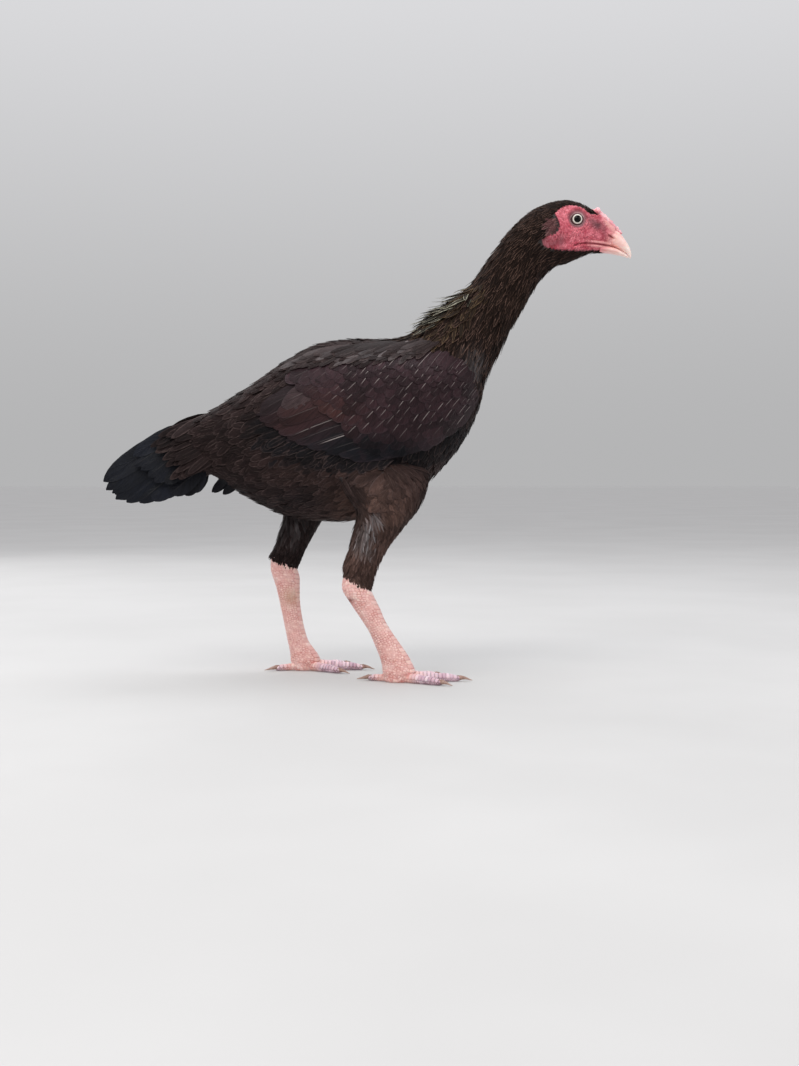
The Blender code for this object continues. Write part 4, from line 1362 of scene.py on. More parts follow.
def face_share(x, z):
    """Return 1 on the bare face and 0 on the feathered head, in side view."""
    ragged = np.sin(x * 1.9 + z * 0.7) * 0.35 + np.sin(z * 2.3 - x * 0.8) * 0.3
    return smooth_step(-0.9, 0.7, inside(x, z, FACE_EDGE) + ragged)


# The skin's rings on trunk, neck and head, its columns, and the thighs' flesh.
SKIN_RINGS = (100, 60, 190)
SKIN_COLUMNS = 264
THIGH_RINGS = 60
THIGH_COLUMNS = 48


def skin_stations():
    """Return where the skin's rings lie along the body, finest on the head."""
    trunk = np.linspace(0, NECK_START, SKIN_RINGS[0], endpoint=False)
    neck = np.linspace(NECK_START, HEAD_START, SKIN_RINGS[1], endpoint=False)
    head = np.linspace(HEAD_START, BODY_END, SKIN_RINGS[2])
    return np.concatenate([trunk, neck, head])


def add_skin():
    """Make one skin for body, neck, head and thighs, and model the face in it."""
    where = skin_stations()
    form = Form(body_points(where, turns_of(SKIN_COLUMNS)))
    x, y, z = in_tables(form.points)
    head = smooth_step(HEAD_START, HEAD_START + 1.5, where)[:, None]
    bare = face_share(x, z) * head
    depth = coat_depth(where)[:, None] * (1 - bare)
    beside = smooth_step(0.15, 0.55, np.abs(form.normals[..., 1])) * head
    relief = face_relief(x, z) * beside
    grain = np.zeros(x.shape)
    faced = bare > 0.05
    spots = np.stack([x, y, z], axis=-1)[faced]
    grain[faced] = pebbles(spots, 1.5) * 0.42 + pebbles(spots, 0.8, 3.0) * 0.14
    modelled = smooth_step(0.1, 0.9, bare + hump(oval(x, z, EAR), 0.8, 0.5))
    out = -depth + (relief * modelled + grain * bare) * MM
    points = form.points + form.normals * out[..., None]
    points = open_sockets(points, np.sign(y), head)
    lips = [(0.93, 0.1), (0.8, -0.2), (0.55, -0.7)]
    last = points[-1]
    middle = last.mean(axis=0)
    ahead = unit(form.along[-1].mean(axis=0))
    ends = [middle + (last - middle) * size + ahead * move * MM for size, move in lips]
    points = np.concatenate([points, np.stack(ends)])
    skin = tube("skin", points)
    for word in SIDES:
        cut_thigh(skin, word)
    points, _ = mesh_points(skin)
    dress_skin(skin, points)
    skin.data.materials.clear()
    skin.data.polygons.foreach_set("material_index", np.zeros(len(skin.data.polygons), np.int32))
    replaced = ("torso", "neck", "head", "thigh_left", "thigh_right")
    return carried(skin, "face_skin", "skin", *replaced)


def open_sockets(points, sides, head):
    """Press the skin in behind each eye, so that the ball shows between its lids."""
    x, y, z = in_tables(points)
    rho, _ = round_eye(x, z)
    behind = eye_ball(np.minimum(rho, 6.4)) - 0.9 - 0.9 * smooth_step(5.2, 3.0, rho)
    share = smooth_step(8.3, 6.3, rho) * (head > 0.99) * (np.abs(y) > 6)
    y = y + (sides * behind - y) * share
    return placed(x, y, z)


def cut_thigh(skin, word):
    """Fuse one thigh's flesh into the skin."""
    rows = THIGHS[word]
    where = np.linspace(0, len(rows) - 1, THIGH_RINGS)
    form = Form(leg_points(rows, SIDES[word], where, turns_of(THIGH_COLUMNS)))
    thin = np.interp(where, [0, 1, len(rows) - 1.5, len(rows) - 1], [3.0, 3.0, 2.2, 0.6])[:, None, None]
    flesh = tube("thigh_flesh", form.points - form.normals * thin * MM)
    step = skin.modifiers.new("join", "BOOLEAN")
    step.operation = "UNION"
    step.solver = "MANIFOLD"
    step.object = flesh
    settle(skin)
    bpy.data.objects.remove(flesh)
    skin.data.shade_smooth()


def dress_skin(skin, points):
    """Store the skin's markings: bare face, painted shade in its creases and hollows, and the coat's
    own marks.
    """
    x, y, z = in_tables(points)
    bare = face_share(x, z) * smooth_step(165, 180, x)
    set_marks(skin, marks_and_shade(points))
    set_shares(skin, "Bare", bare)
    relief = np.where(bare > 0, face_relief(x, z), 0)
    # Painted shade where the face lies low.
    set_shares(skin, "CreaseShade", smooth_step(0.3, -1.0, relief) * bare)
    rho, _ = round_eye(x, z)
    set_shares(skin, "Rim", hump(rho, 7.3, 1.2) * bare)
    # Painted shade in the hollows under the comb's foot, in the crease by the ear lobe, and under the
    # brow over the eye.
    painted_shade = patches(x, z, PAINTED_SHADES)
    painted_shade += 0.45 * hump(rho, 9, 1.6) * (z > EYE[2])
    set_shares(skin, "PaintedShade", np.clip(painted_shade, 0, 1) * bare)
    lips = 0.7 * hump(from_line(x, z, MOUTH), 1.9, 1.1) * smooth_step(210, 226, x)
    band = 0.75 * smooth_step(8, 3.5, from_line(x, z, COMB_FOOT)) * smooth_step(230, 237, x)
    set_shares(skin, "Cere", np.maximum(cere(x, z), np.maximum(lips, band)) * bare)
    set_shares(skin, "Lobe", smooth_step(1.3, 0.8, oval(x, z, EAR_LOBE)) * bare)
    grain = np.zeros(len(x))
    faced = bare > 0.05
    grain[faced] = pebbles(np.stack([x, y, z], axis=-1)[faced], 1.5)
    set_shares(skin, "Grain", grain)


# Eyes and lids.
def add_eye(word):
    """Make one eyeball with its cornea, facing out to its side."""
    side = SIDES[word]
    rings, sides = 48, 64
    polar = np.linspace(0.02, math.pi - 0.02, rings)[:, None]
    turn = turns_of(sides)[None, :]
    bulge = 1 + 0.035 * np.exp(-((polar / 0.45) ** 2))
    radius = EYE_RADIUS * bulge
    out = radius * np.cos(polar) * np.ones_like(turn)
    x = EYE[0] + radius * np.sin(polar) * np.cos(turn)
    z = EYE[2] + radius * np.sin(polar) * np.sin(turn)
    grid = placed(x, side * (EYE[1] + out), z)
    eye = tube("eyeball_" + word, grid)
    points, _ = mesh_points(eye)
    x, _, z = in_tables(points)
    rho, turn = round_eye(x, z)
    set_shares(eye, "Rho", rho)
    set_shares(eye, "Turn", turn)
    return carried(eye, "eye", "eye", "eye_" + word)


def add_lids(word):
    """Make the two lids round one eye, as one wrinkled ring that hugs the ball."""
    side = SIDES[word]
    turn = turns_of(160)[:, None]
    around = turns_of(20)
    corner = 1.25 * np.exp(-((turn - math.pi) / 0.35) ** 2)
    corner = corner + 1.1 * np.exp(-(np.minimum(turn, math.tau - turn) / 0.33) ** 2)
    reach = 6.5 + 0.1 * np.cos(2 * turn) + 0.45 * corner
    thick = 0.98 + 0.14 * np.sin(turn) - 0.2 * corner
    fold = 1 + 0.07 * np.sin(turn * 31) + 0.05 * np.sin(turn * 17 + 1)
    rho = reach + thick * np.cos(around)[None, :] * fold
    rise = 0.62 * thick * np.sin(around)[None, :] * fold
    y = eye_ball(np.minimum(reach, 6.6)) + 0.15 + rise - 0.1 * corner
    grid = placed(EYE[0] + rho * np.cos(turn), side * y, EYE[2] + rho * np.sin(turn) * 0.97)
    quads = ring_quads(*grid.shape[:2], looped=True)
    lids = new_mesh("eyelids_" + word, grid.reshape(-1, 3), quads.ravel(), np.full(len(quads), 4))
    face_outwards(lids)
    return carried(lids, "face_skin", "lid")


# Horn: the two halves of the bill.
BEAK_UPPER = [
    (239.5, 451.6, 231.5, 431.9, 8.4),
    (244.5, 448.4, 236.5, 431.2, 8.4),
    (250.2, 444.4, 242, 430.3, 8.0),
    (254.6, 438.8, 247, 428.6, 6.9),
    (258.6, 432.8, 252.2, 426.2, 5.3),
    (261.4, 427.0, 256.8, 423.4, 3.5),
    (262.2, 422.0, 259.6, 420.4, 2.0),
    (261.2, 418.4, 260.5, 418.2, 0.8),
]
BEAK_LOWER = [
    (230.6, 431.5, 229.6, 424.8, 8.0),
    (235.6, 431.0, 234.4, 424.2, 8.0),
    (242, 430.0, 241.2, 423.4, 7.5),
    (247, 428.4, 246.6, 422.3, 6.1),
    (252.2, 425.8, 251.8, 421.1, 4.3),
    (256.4, 423.0, 255.9, 419.9, 2.6),
    (259.2, 420.4, 258.8, 419.0, 1.0),
]


def add_beak(name, rows, node):
    """Make one half of the bill, the upper with its nostrils under their flaps."""
    where = np.linspace(0, len(rows) - 1, 110)
    angles = turns_of(96)
    row = rows_at(rows, where)[:, None, :]
    up = np.cos(angles)[None, :]
    around = np.sin(angles)[None, :]
    upper = name == "bill_upper"
    ridge = np.sign(around) * np.abs(around) ** (1.15 if upper else 0.95)
    x, z = between_ends(row, up)
    form = Form(placed(x, row[..., 4] * ridge, z))
    x, y, z = in_tables(form.points)
    bands = 0.05 * np.sin(where * 17)[:, None] + 0.03 * np.sin(where * 41 + 1)[:, None]
    out = bands * smooth_step(0.6, 2.0, where)[:, None]
    if upper:
        beside = smooth_step(2.5, 5.0, np.abs(y))
        slit, flap = nostril(x, z)
        out = out + (0.95 * flap - 2.0 * slit) * beside
        out = out + 0.25 * hump(where, 1.9, 0.28)[:, None] * beside
    grid = form.points + form.normals * out[..., None] * MM
    thing = tube(name, grid)
    x, y, z = in_tables(mesh_points(thing)[0])
    set_shares(thing, "Tip", smooth_step(243, 262, x + (432 - z) * 0.25))
    set_shares(thing, "Cere", cere(x, z))
    # Painted shade in the nostrils' slits.
    set_shares(thing, "NostrilShade", nostril(x, z)[0] * upper)
    return carried(thing, "beak", "beak", node)


# The low comb of three rows.
COMB_BASE = [
    (222.0, 467.6, 225.5, 457, 3.0),
    (229.0, 467.0, 232, 454, 5.0),
    (237.5, 460.2, 239.5, 448, 5.2),
    (245.5, 451.8, 246.2, 444, 4.2),
    (250.8, 445.8, 249.6, 441.5, 2.8),
]
# Each row of the comb: y, radius of its knobs, how far they stand up.
COMB_KNOBS = 8
COMB_ROWS = [(0, 2.9, 0.6), (2.7, 2.6, -1.1), (-2.7, 2.6, -1.1)]
COMB_START = (228.5, 465.2)
COMB_END = (250.6, 444.8)
COMB_PEAK = 0.5


def ball(centre, radii, rings=14, sides=20):
    """Return the points of a small ellipsoid, as a grid of rings."""
    polar = np.linspace(0.05, math.pi - 0.05, rings)[:, None]
    turn = turns_of(sides)[None, :]
    x = centre[0] + radii[0] * np.sin(polar) * np.cos(turn)
    y = centre[1] + radii[1] * np.sin(polar) * np.sin(turn)
    z = centre[2] + radii[2] * np.cos(polar) * np.ones_like(turn)
    return placed(x, y, z)


def add_comb(seed, size_share):
    """Make the pea comb: a fleshy base and three rows of knobs, fused and pebbled."""
    rng = np.random.default_rng(seed)
    row = rows_at(COMB_BASE, np.linspace(0, len(COMB_BASE) - 1, 30))[:, None, :]
    angles = turns_of(28)
    x, z = between_ends(row, np.cos(angles))
    things = [tube("comb_base", placed(x, row[..., 4] * np.sin(angles), z))]
    (ax, az), (bx, bz) = COMB_START, COMB_END
    for y, radius, raised in COMB_ROWS:
        for i in range(COMB_KNOBS):
            share = i / (COMB_KNOBS - 1)
            size = radius * (1 - 0.3 * share) * (1 + 0.08 * (-1) ** i) * rng.uniform(0.94, 1.06)
            size = size * size_share
            middle = (
                ax + (bx - ax) * share + rng.normal(0, 0.25),
                y * (1 - 0.35 * share) + rng.normal(0, 0.2),
                az + (bz - az) * share + raised + COMB_PEAK * (i == 0 and y == 0),
            )
            things.append(tube("knob", ball(middle, (size, size * 0.9, size))))
    comb = moulded(merged("pea_comb", things), 0.32 * MM, 14)
    points, normals = mesh_points(comb)
    x, y, z = in_tables(points)
    grain = pebbles(np.stack([x, y, z], axis=-1), 1.1) * 0.28
    set_points(comb, points + normals * (grain[:, None] - 0.1) * MM)
    comb.data.shade_smooth()
    line = az + (x - ax) * (bz - az) / (bx - ax)
    # Height above the comb's line: its paler top is partly its own pale pink and partly painted
    # highlight.
    set_shares(comb, "Height", smooth_step(-5, 1.2, z - line))
    return carried(comb, "comb", "comb", "comb")


# Shanks and feet.
PAD_RADIUS = 13.5
CLAW_RADIUS = 2.7
TOE_SINK = 0.82
SCALE_SEED = 11


def toe_size(radius, share):
    """Return a toe's radius at a share of its length, swollen between its joints."""
    taper = 1 - 0.22 * share - 0.2 * smooth_step(0.6, 1.0, share)
    return radius * taper * (1 + 0.06 * np.cos(math.tau * 2.5 * share))


def ankle_of(word):
    """Return the middle of the foot in the tables."""
    last = SHANKS[word][-1]
    return (last[0] + last[2]) / 2, SIDES[word] * last[4]


def leg_rows(word):
    """Return the shank's rows, carried on down into the foot."""
    rows = SHANKS[word]
    rear, _, front, _, middle, half = rows[-1]
    return rows + [
        (rear + 0.6, 8.5, front + 2.0, 8.5, middle, half + 0.6),
        (rear + 3.5, 2.0, front - 1.0, 2.0, middle, half - 0.8),
    ]


def over_foot(word, degrees, reach, side):
    """Return x and y at a reach along a toe's heading, and some way to its side."""
    cx, cy = ankle_of(word)
    heading = SIDES[word] * math.radians(degrees)
    ax, ay = math.cos(heading), math.sin(heading)
    return cx + ax * reach - ay * side, cy + ay * reach + ax * side


def toe_tube(word, degrees, length, radius):
    """Return one toe's surface, round at its tip."""
    share = np.linspace(0, 1, 40)[:, None]
    angles = turns_of(28)
    close = np.sqrt(np.clip(1 - smooth_step(0.86, 1.04, share) ** 2, 0.02, 1))
    size = toe_size(radius, share)
    x, y = over_foot(word, degrees, length * share, np.sin(angles)[None, :] * size * close)
    z = size * TOE_SINK + np.cos(angles)[None, :] * size * close
    return placed(x, y, z)


# Scutes down the shank's front: their spacing, and their seeds' degrees off its middle.
FRONT_SCUTE = 4.6
FRONT_TURNS = [4, 12, 20, 28, 36, 44]
# Small scales on the rest of the shank: degrees off its front, spacing.
SHANK_SCALES = [
    (58, 2.4), (73, 2.2), (88, 2.1), (104, 2.0), (120, 2.0), (136, 2.1), (151, 2.3), (166, 2.5),
    (180, 2.5),
]
# Scutes on the toes and small scales under them: spacing, degrees off the top.
TOE_SCUTE = 3.6
TOE_SCUTE_TURNS = range(-84, 85, 14)
TOE_SCALE = 2.3
TOE_SCALE_TURNS = [110, 135, 160, -110, -135, -160]
# A scab on the right shank and a stain on the left one, as soft ovals in side view.
SCAB = [(1, -18, 80, 3.5, 2.6)]
STAIN = [(1, -82, 76, 9, 9)]


def toe_spot(word, toe, share, turn):
    """Return a place on a toe, at a share of its length and a turn round it."""
    degrees, length, radius = toe
    size = toe_size(radius, share)
    x, y = over_foot(word, degrees, length * share, math.sin(turn) * size)
    return np.array([x, y, max(0.0, size * TOE_SINK + math.cos(turn) * size)])


def scale_seeds(word):
    """Return places of the leg's scales, the plate each belongs to, and their size."""
    side = SIDES[word]
    rows = leg_rows(word)
    seeds, plates, sizes = [], [], []
    steps = np.linspace(0.35, len(rows) - 1.15, 400)
    line = in_tables(leg_points(rows, side, steps, np.array([0.0]))[:, 0])
    length = np.concatenate([[0], np.cumsum(np.hypot(np.diff(line[0]), np.diff(line[2])))])

    def plant(places, size):
        """Add one plate by its seeds."""
        plate = plates[-1] + 1 if plates else 0
        seeds.extend(places)
        plates.extend([plate] * len(places))
        sizes.extend([size] * len(places))

    def down(place, count, angles):
        """Return places round the shank, some way down it in count equal steps."""
        at = np.interp(place * length[-1] / count, length, steps)
        return np.stack(in_tables(leg_points(rows, side, np.array([at]), angles)[0]), -1)

    for column in (1, -1):
        count = int(length[-1] / FRONT_SCUTE)
        for i in range(count):
            plant(down(i + 0.5 + 0.25 * column, count, column * np.radians(FRONT_TURNS)), 1.0)
    for degrees, width in SHANK_SCALES:
        count = int(length[-1] / width)
        shift = 0.5 * (round(degrees / 15) % 2)
        for column in ((1, -1) if degrees < 180 else (1,)):
            for i in range(count):
                turn = column * math.radians(degrees + 4 * math.sin(i * 2.1))
                plant(down(i + 0.25 + shift, count, np.array([turn])), 0.55)
    for toe in TOES.values():
        count = int(toe[1] * 0.8 / TOE_SCUTE)
        for i in range(count):
            share = 0.22 + 0.78 * (i + 0.5) / count
            plant([toe_spot(word, toe, share, turn) for turn in np.radians(TOE_SCUTE_TURNS)], 0.9)
        count = int(toe[1] / TOE_SCALE)
        for degrees in TOE_SCALE_TURNS:
            for i in range(count):
                share = 0.15 + 0.85 * (i + 0.5 * (degrees // 28 % 2)) / count
                plant([toe_spot(word, toe, share, math.radians(degrees))], 0.5)
    return np.array(seeds), np.array(plates), np.array(sizes)


def add_leg(word):
    """Make one bare leg: shank, pad and toes fused in one scaly skin."""
    side = SIDES[word]
    rows = leg_rows(word)
    angles = turns_of(56)
    top = np.linspace(0, len(rows) - 1, 90)
    form = Form(leg_points(rows, side, top, angles))
    draw = np.interp(top, [0, 0.5, 1], [1.2, 0.6, 0.3])[:, None, None] * MM
    things = [tube("shank_flesh", form.points - form.normals * draw)]
    cx, cy = ankle_of(word)
    levels = [(-2, 0.8), (1.5, 0.97), (4, 1.0), (8, 0.97), (12, 0.8)]
    rings = []
    for z, share in levels:
        reach = PAD_RADIUS * share
        rings.append(placed(cx + np.cos(angles) * reach, cy + np.sin(angles) * reach * 0.82, z))
    things.append(tube("pad", np.stack(rings)))
    for degrees, length, radius in TOES.values():
        things.append(tube("toe", toe_tube(word, degrees, length, radius)))
    leg = moulded(merged("leg_" + word, things), 0.55 * MM, 16)
    points, normals = mesh_points(leg)
    scales_on(leg, word, points, normals)
    return carried(leg, "shank_scale", "leg", "shank_" + word, "foot_" + word)


def scales_on(leg, word, points, normals):
    """Raise the scales and scutes over a leg, and store their grooves for its finish."""
    side = SIDES[word]
    seeds, plates, sizes = scale_seeds(word)
    tree = KDTree(len(seeds))
    for index, seed in enumerate(seeds):
        tree.insert(seed, index)
    tree.balance()
    spots = np.stack(in_tables(points), axis=-1)
    x, y, z = spots.T
    groove = np.zeros(len(spots))
    plate_of = np.zeros(len(spots), int)
    height = np.zeros(len(spots))
    for i, spot in enumerate(spots.tolist()):
        found = tree.find_n(spot, 9)
        first = plates[found[0][1]]
        edge = 3.0
        for _, index, distance in found[1:]:
            if plates[index] != first:
                edge = distance - found[0][2]
                break
        plate_of[i] = first
        height[i] = sizes[found[0][1]]
        groove[i] = edge
    dent = np.exp(-((groove / np.where(z < 11, 0.75, 0.5)) ** 2))
    out = height * (0.42 * smooth_step(0, 1.3, groove)) - 0.24 * dent
    free = smooth_step(0.3, 1.6, z)
    moved = points + normals * (out * free)[:, None] * MM
    moved[:, 2] = np.maximum(moved[:, 2], 0.0)
    set_points(leg, moved)
    leg.data.shade_smooth()
    tints = np.random.default_rng(SCALE_SEED).random(plates.max() + 1)
    set_shares(leg, "Groove", dent)
    set_shares(leg, "Cell", tints[plate_of])
    set_shares(leg, "Low", smooth_step(22, 6, z))
    cx, cy = ankle_of(word)
    set_shares(leg, "Toe", smooth_step(14, 30, np.hypot(x - cx, y - cy)) * smooth_step(20, 13, z))
    set_shares(leg, "Wound", patches(x, z, SCAB) * (side < 0))
    set_shares(leg, "Stain", patches(x, z, STAIN) * (side > 0))


def add_claw(word, number, toe, claw_length):
    """Make one claw, curved down from its toe to just above the floor."""
    degrees, length, radius = toe
    cx, cy = ankle_of(word)
    share = np.linspace(-0.3, 1, 40)
    angles = turns_of(32)
    size = CLAW_RADIUS * (1 - 0.9 * np.clip(share, 0, 1) ** 0.9) * np.where(share < 0, 0.95, 1)
    start = toe_size(radius, 1.0) * TOE_SINK
    ahead = np.clip(share, 0, 1)
    middle = start + 0.7 + claw_length * (0.1 * ahead - 0.36 * ahead**2)
    middle = np.maximum(middle, size + 0.6)
    reach = length - 0.6 + claw_length * share
    up = np.cos(angles)[None, :]
    around = np.sin(angles)[None, :]
    flat = np.where(up < 0, 0.78, 1.0)
    side = around * size[:, None] * 0.78 * (1 - 0.25 * np.clip(up, 0, 1))
    x, y = over_foot(word, degrees, reach[:, None], side)
    z = middle[:, None] + up * size[:, None] * flat
    claw = tube(f"nail_{word}_{number}", placed(x, y, z))
    x, y, _ = in_tables(mesh_points(claw)[0])
    set_shares(claw, "Tip", np.clip((np.hypot(x - cx, y - cy) - length) / claw_length, 0, 1))
    return carried(claw, "claw", "claw", f"claw_{word}_{number}")


# Finishes.
class Nodes:
    """Short ways to add and join shader nodes in one tree."""

    def __init__(self, tree):
        self.tree = tree

    def add(self, kind, **settings):
        """Add a node with its settings."""
        node = self.tree.nodes.new(kind)
        for key, value in settings.items():
            setattr(node, key, value)
        return node

    def join(self, source, target):
        """Link an output to an input."""
        self.tree.links.new(source, target)

    def feed(self, node, index, value):
        """Give an input a link, or a plain value."""
        if isinstance(value, bpy.types.NodeSocket):
            self.join(value, node.inputs[index])
        else:
            node.inputs[index].default_value = value

    def math(self, operation, a, b=0.0, c=0.0):
        """Add a maths node and return its output."""
        node = self.add("ShaderNodeMath", operation=operation)
        for index, value in enumerate((a, b, c)):
            self.feed(node, index, value)
        return node.outputs[0]

    def times(self, a, b):
        """Multiply two numbers and return the output."""
        return self.math("MULTIPLY", a, b)

    def grey(self, value):
        """Turn a number into a grey colour."""
        node = self.add("ShaderNodeCombineColor")
        for index in range(3):
            self.feed(node, index, value)
        return node.outputs[0]

    def mix(self, share, a, b, blend="MIX"):
        """Mix two colours and return the output."""
        node = self.add("ShaderNodeMix", data_type="RGBA", blend_type=blend)
        self.feed(node, 0, share)
        self.feed(node, 6, a)
        self.feed(node, 7, b)
        return node.outputs[2]

    def over(self, shade, tone, mark, strength=1.0):
        """Lay a plain colour over a shade, as far as the mesh stores a mark."""
        return self.mix(self.times(self.share(mark), strength), shade, colour(*tone))

    def step(self, value, low, high, to_low=0.0, to_high=1.0):
        """Map a value softly from one range to another."""
        node = self.add("ShaderNodeMapRange", interpolation_type="SMOOTHSTEP")
        for index, entry in enumerate((value, low, high, to_low, to_high)):
            self.feed(node, index, entry)
        return node.outputs[0]

    def share(self, name):
        """Read a stored number of the mesh."""
        return self.add("ShaderNodeAttribute", attribute_name=name).outputs["Fac"]

    def noise(self, scale, detail=3.0, rough=0.55):
        """Return a noise over the object's own places, from 0 to 1."""
        where = self.add("ShaderNodeTexCoord")
        node = self.add("ShaderNodeTexNoise")
        self.join(where.outputs["Object"], node.inputs["Vector"])
        node.inputs["Scale"].default_value = scale
        node.inputs["Detail"].default_value = detail
        node.inputs["Roughness"].default_value = rough
        return node.outputs["Fac"]


def colour(red, green, blue):
    """Return a colour with full cover."""
    return (red, green, blue, 1.0)


def new_group(name, inputs, outputs):
    """Start a shader node group from names and socket kinds."""
    tree = bpy.data.node_groups.new(name, "ShaderNodeTree")
    for label, kind, value in inputs:
        socket = tree.interface.new_socket(label, in_out="INPUT", socket_type=kind)
        socket.default_value = value
    for label, kind in outputs:
        tree.interface.new_socket(label, in_out="OUTPUT", socket_type=kind)
    nodes = Nodes(tree)
    return tree, nodes, nodes.add("NodeGroupInput"), nodes.add("NodeGroupOutput")


def plumage_colours():
    """Group: the coat's colours from its markings and painted shade, the same on skin and feathers."""
    colours = "NodeSocketColor"
    tree, nodes, given, made = new_group(
        "Plumage colours",
        [
            ("Ground", colours, colour(0.03, 0.02, 0.02)),
            ("Rufous", colours, colour(0.10, 0.035, 0.02)),
            ("Pale", colours, colour(0.2, 0.18, 0.17)),
            ("Gilt", colours, colour(0.09, 0.05, 0.025)),
            ("Smoke", colours, colour(0.012, 0.013, 0.017)),
        ],
        [("Color", colours)],
    )
    marks = nodes.add("ShaderNodeAttribute", attribute_name="Marks")
    parts = nodes.add("ShaderNodeSeparateColor")
    nodes.join(marks.outputs["Color"], parts.inputs[0])
    mottle = nodes.noise(55.0)
    uneven = nodes.step(mottle, 0.3, 0.7, 0.72, 1.28)
    shade = given.outputs["Ground"]
    for mask, name in (
        (marks.outputs["Alpha"], "Smoke"), (parts.outputs[2], "Gilt"),
        (parts.outputs[0], "Rufous"), (parts.outputs[1], "Pale"),
    ):
        shade = nodes.mix(nodes.times(mask, uneven), shade, given.outputs[name])
    tone = nodes.noise(18.0, 2.0)
    shade = nodes.mix(1.0, shade, nodes.grey(nodes.step(tone, 0.3, 0.7, 0.78, 1.22)), "MULTIPLY")
    nodes.join(shade, made.inputs["Color"])
    return tree


def vane_marks():
    """Group: what shows on each feather: its shaft, barbs, edge and own tone."""
    colours, number = "NodeSocketColor", "NodeSocketFloat"
    tree, nodes, given, made = new_group(
        "Feather marks",
        [
            ("Color", colours, colour(0.03, 0.02, 0.02)),
            ("Edge", colours, colour(0.06, 0.05, 0.045)),
            ("Edge share", number, 0.5),
            ("Shaft", colours, colour(0.3, 0.26, 0.22)),
            ("Shaft share", number, 0.3),
            ("Barbs", number, 60.0),
        ],
        [("Color", colours), ("Height", number)],
    )
    uv = nodes.add("ShaderNodeUVMap", uv_map="Vane")
    parts = nodes.add("ShaderNodeSeparateXYZ")
    nodes.join(uv.outputs[0], parts.inputs[0])
    beside = nodes.math("ABSOLUTE", nodes.math("MULTIPLY_ADD", parts.outputs[0], 2.0, -1.0))
    along = parts.outputs[1]
    tint = nodes.share("Tint")
    shaft = nodes.step(beside, 0.065, 0.02)
    shaft = nodes.times(shaft, nodes.step(along, 0.97, 0.8))
    shown = nodes.times(shaft, given.outputs["Shaft share"])
    shown = nodes.times(shown, nodes.share("Shaft"))
    rise = nodes.math("SUBTRACT", along, nodes.times(beside, 0.3))
    rise = nodes.times(rise, given.outputs["Barbs"])
    barbs = nodes.math("SINE", nodes.times(rise, 6.283))
    where = nodes.add("ShaderNodeCombineXYZ")
    for index, value in enumerate((rise, beside, nodes.times(tint, 97.0))):
        nodes.join(value, where.inputs[index])
    tufts = nodes.add("ShaderNodeTexNoise")
    tufts.inputs["Scale"].default_value = 0.8
    tufts.inputs["Detail"].default_value = 3.0
    nodes.join(where.outputs[0], tufts.inputs["Vector"])
    streak = nodes.step(tufts.outputs["Fac"], 0.3, 0.7, -1.0, 1.0)
    beyond = nodes.math("MULTIPLY_ADD", streak, 0.1, beside)
    rim = nodes.math("MAXIMUM", nodes.step(beyond, 0.66, 1.0), nodes.step(along, 0.88, 1.0, 0.0, 0.5))
    rim = nodes.times(rim, given.outputs["Edge share"])
    rim = nodes.times(rim, nodes.step(tint, 0.2, 1.0, 0.4, 1.8))
    own = nodes.step(tint, 0.0, 1.0, 0.72, 1.34)
    own = nodes.times(own, nodes.math("MULTIPLY_ADD", barbs, 0.05, 1.0))
    own = nodes.times(own, nodes.math("MULTIPLY_ADD", streak, 0.3, 1.0))
    shade = nodes.mix(1.0, given.outputs["Color"], nodes.grey(own), "MULTIPLY")
    shade = nodes.mix(rim, shade, given.outputs["Edge"])
    shade = nodes.mix(shown, shade, given.outputs["Shaft"])
    nodes.join(shade, made.inputs["Color"])
    height = nodes.math("MULTIPLY_ADD", streak, 0.8, nodes.math("MULTIPLY_ADD", barbs, 0.3, shaft))
    nodes.join(height, made.inputs["Height"])
    return tree


def skin_grain():
    """Group: the fine pebbles and creases of bare skin and scales."""
    number = "NodeSocketFloat"
    tree, nodes, given, made = new_group(
        "Skin grain", [("Scale", number, 900.0)], [("Height", number), ("Mottle", number)]
    )
    where = nodes.add("ShaderNodeTexCoord")
    cells = nodes.add("ShaderNodeTexVoronoi", feature="DISTANCE_TO_EDGE")
    nodes.join(where.outputs["Object"], cells.inputs["Vector"])
    nodes.join(given.outputs["Scale"], cells.inputs["Scale"])
    edge = nodes.step(cells.outputs["Distance"], 0.0, 0.3)
    fine = nodes.noise(2600.0, 2.0)
    nodes.join(nodes.math("MULTIPLY_ADD", fine, 0.3, edge), made.inputs["Height"])
    nodes.join(nodes.noise(160.0, 4.0, 0.65), made.inputs["Mottle"])
    return tree


GROUP_MAKERS = {
    "Plumage colours": plumage_colours,
    "Feather marks": vane_marks,
    "Skin grain": skin_grain,
}


def grouped(nodes, name, **values):
    """Place one of the shared groups in a material, with its own values."""
    tree = bpy.data.node_groups.get(name) or GROUP_MAKERS[name]()
    node = nodes.add("ShaderNodeGroup", node_tree=tree)
    for key, value in values.items():
        nodes.feed(node, key.replace("_", " "), value)
    return node


class Finish(Nodes):
    """One material, with ways to add its shader nodes."""

    def __init__(self, name, roughness, **plain):
        """plain holds the shader's other inputs that are the same all over it."""
        self.material = bpy.data.materials.new("hen " + name)
        self.material.use_nodes = True
        super().__init__(self.material.node_tree)
        self.shader = self.tree.nodes["Principled BSDF"]
        self.shader.inputs["Roughness"].default_value = roughness
        for key, value in plain.items():
            self.shader.inputs[key.replace("_", " ")].default_value = value

    def end(self, shade, height=None, distance=0.0, strength=1.0):
        """Give the shader its colour, and a height as its bump, and return the material."""
        self.join(shade, self.shader.inputs["Base Color"])
        if height:
            bump = self.add("ShaderNodeBump")
            bump.inputs["Distance"].default_value = distance
            bump.inputs["Strength"].default_value = strength
            self.join(height, bump.inputs["Height"])
            self.join(bump.outputs[0], self.shader.inputs["Normal"])
        return self.material
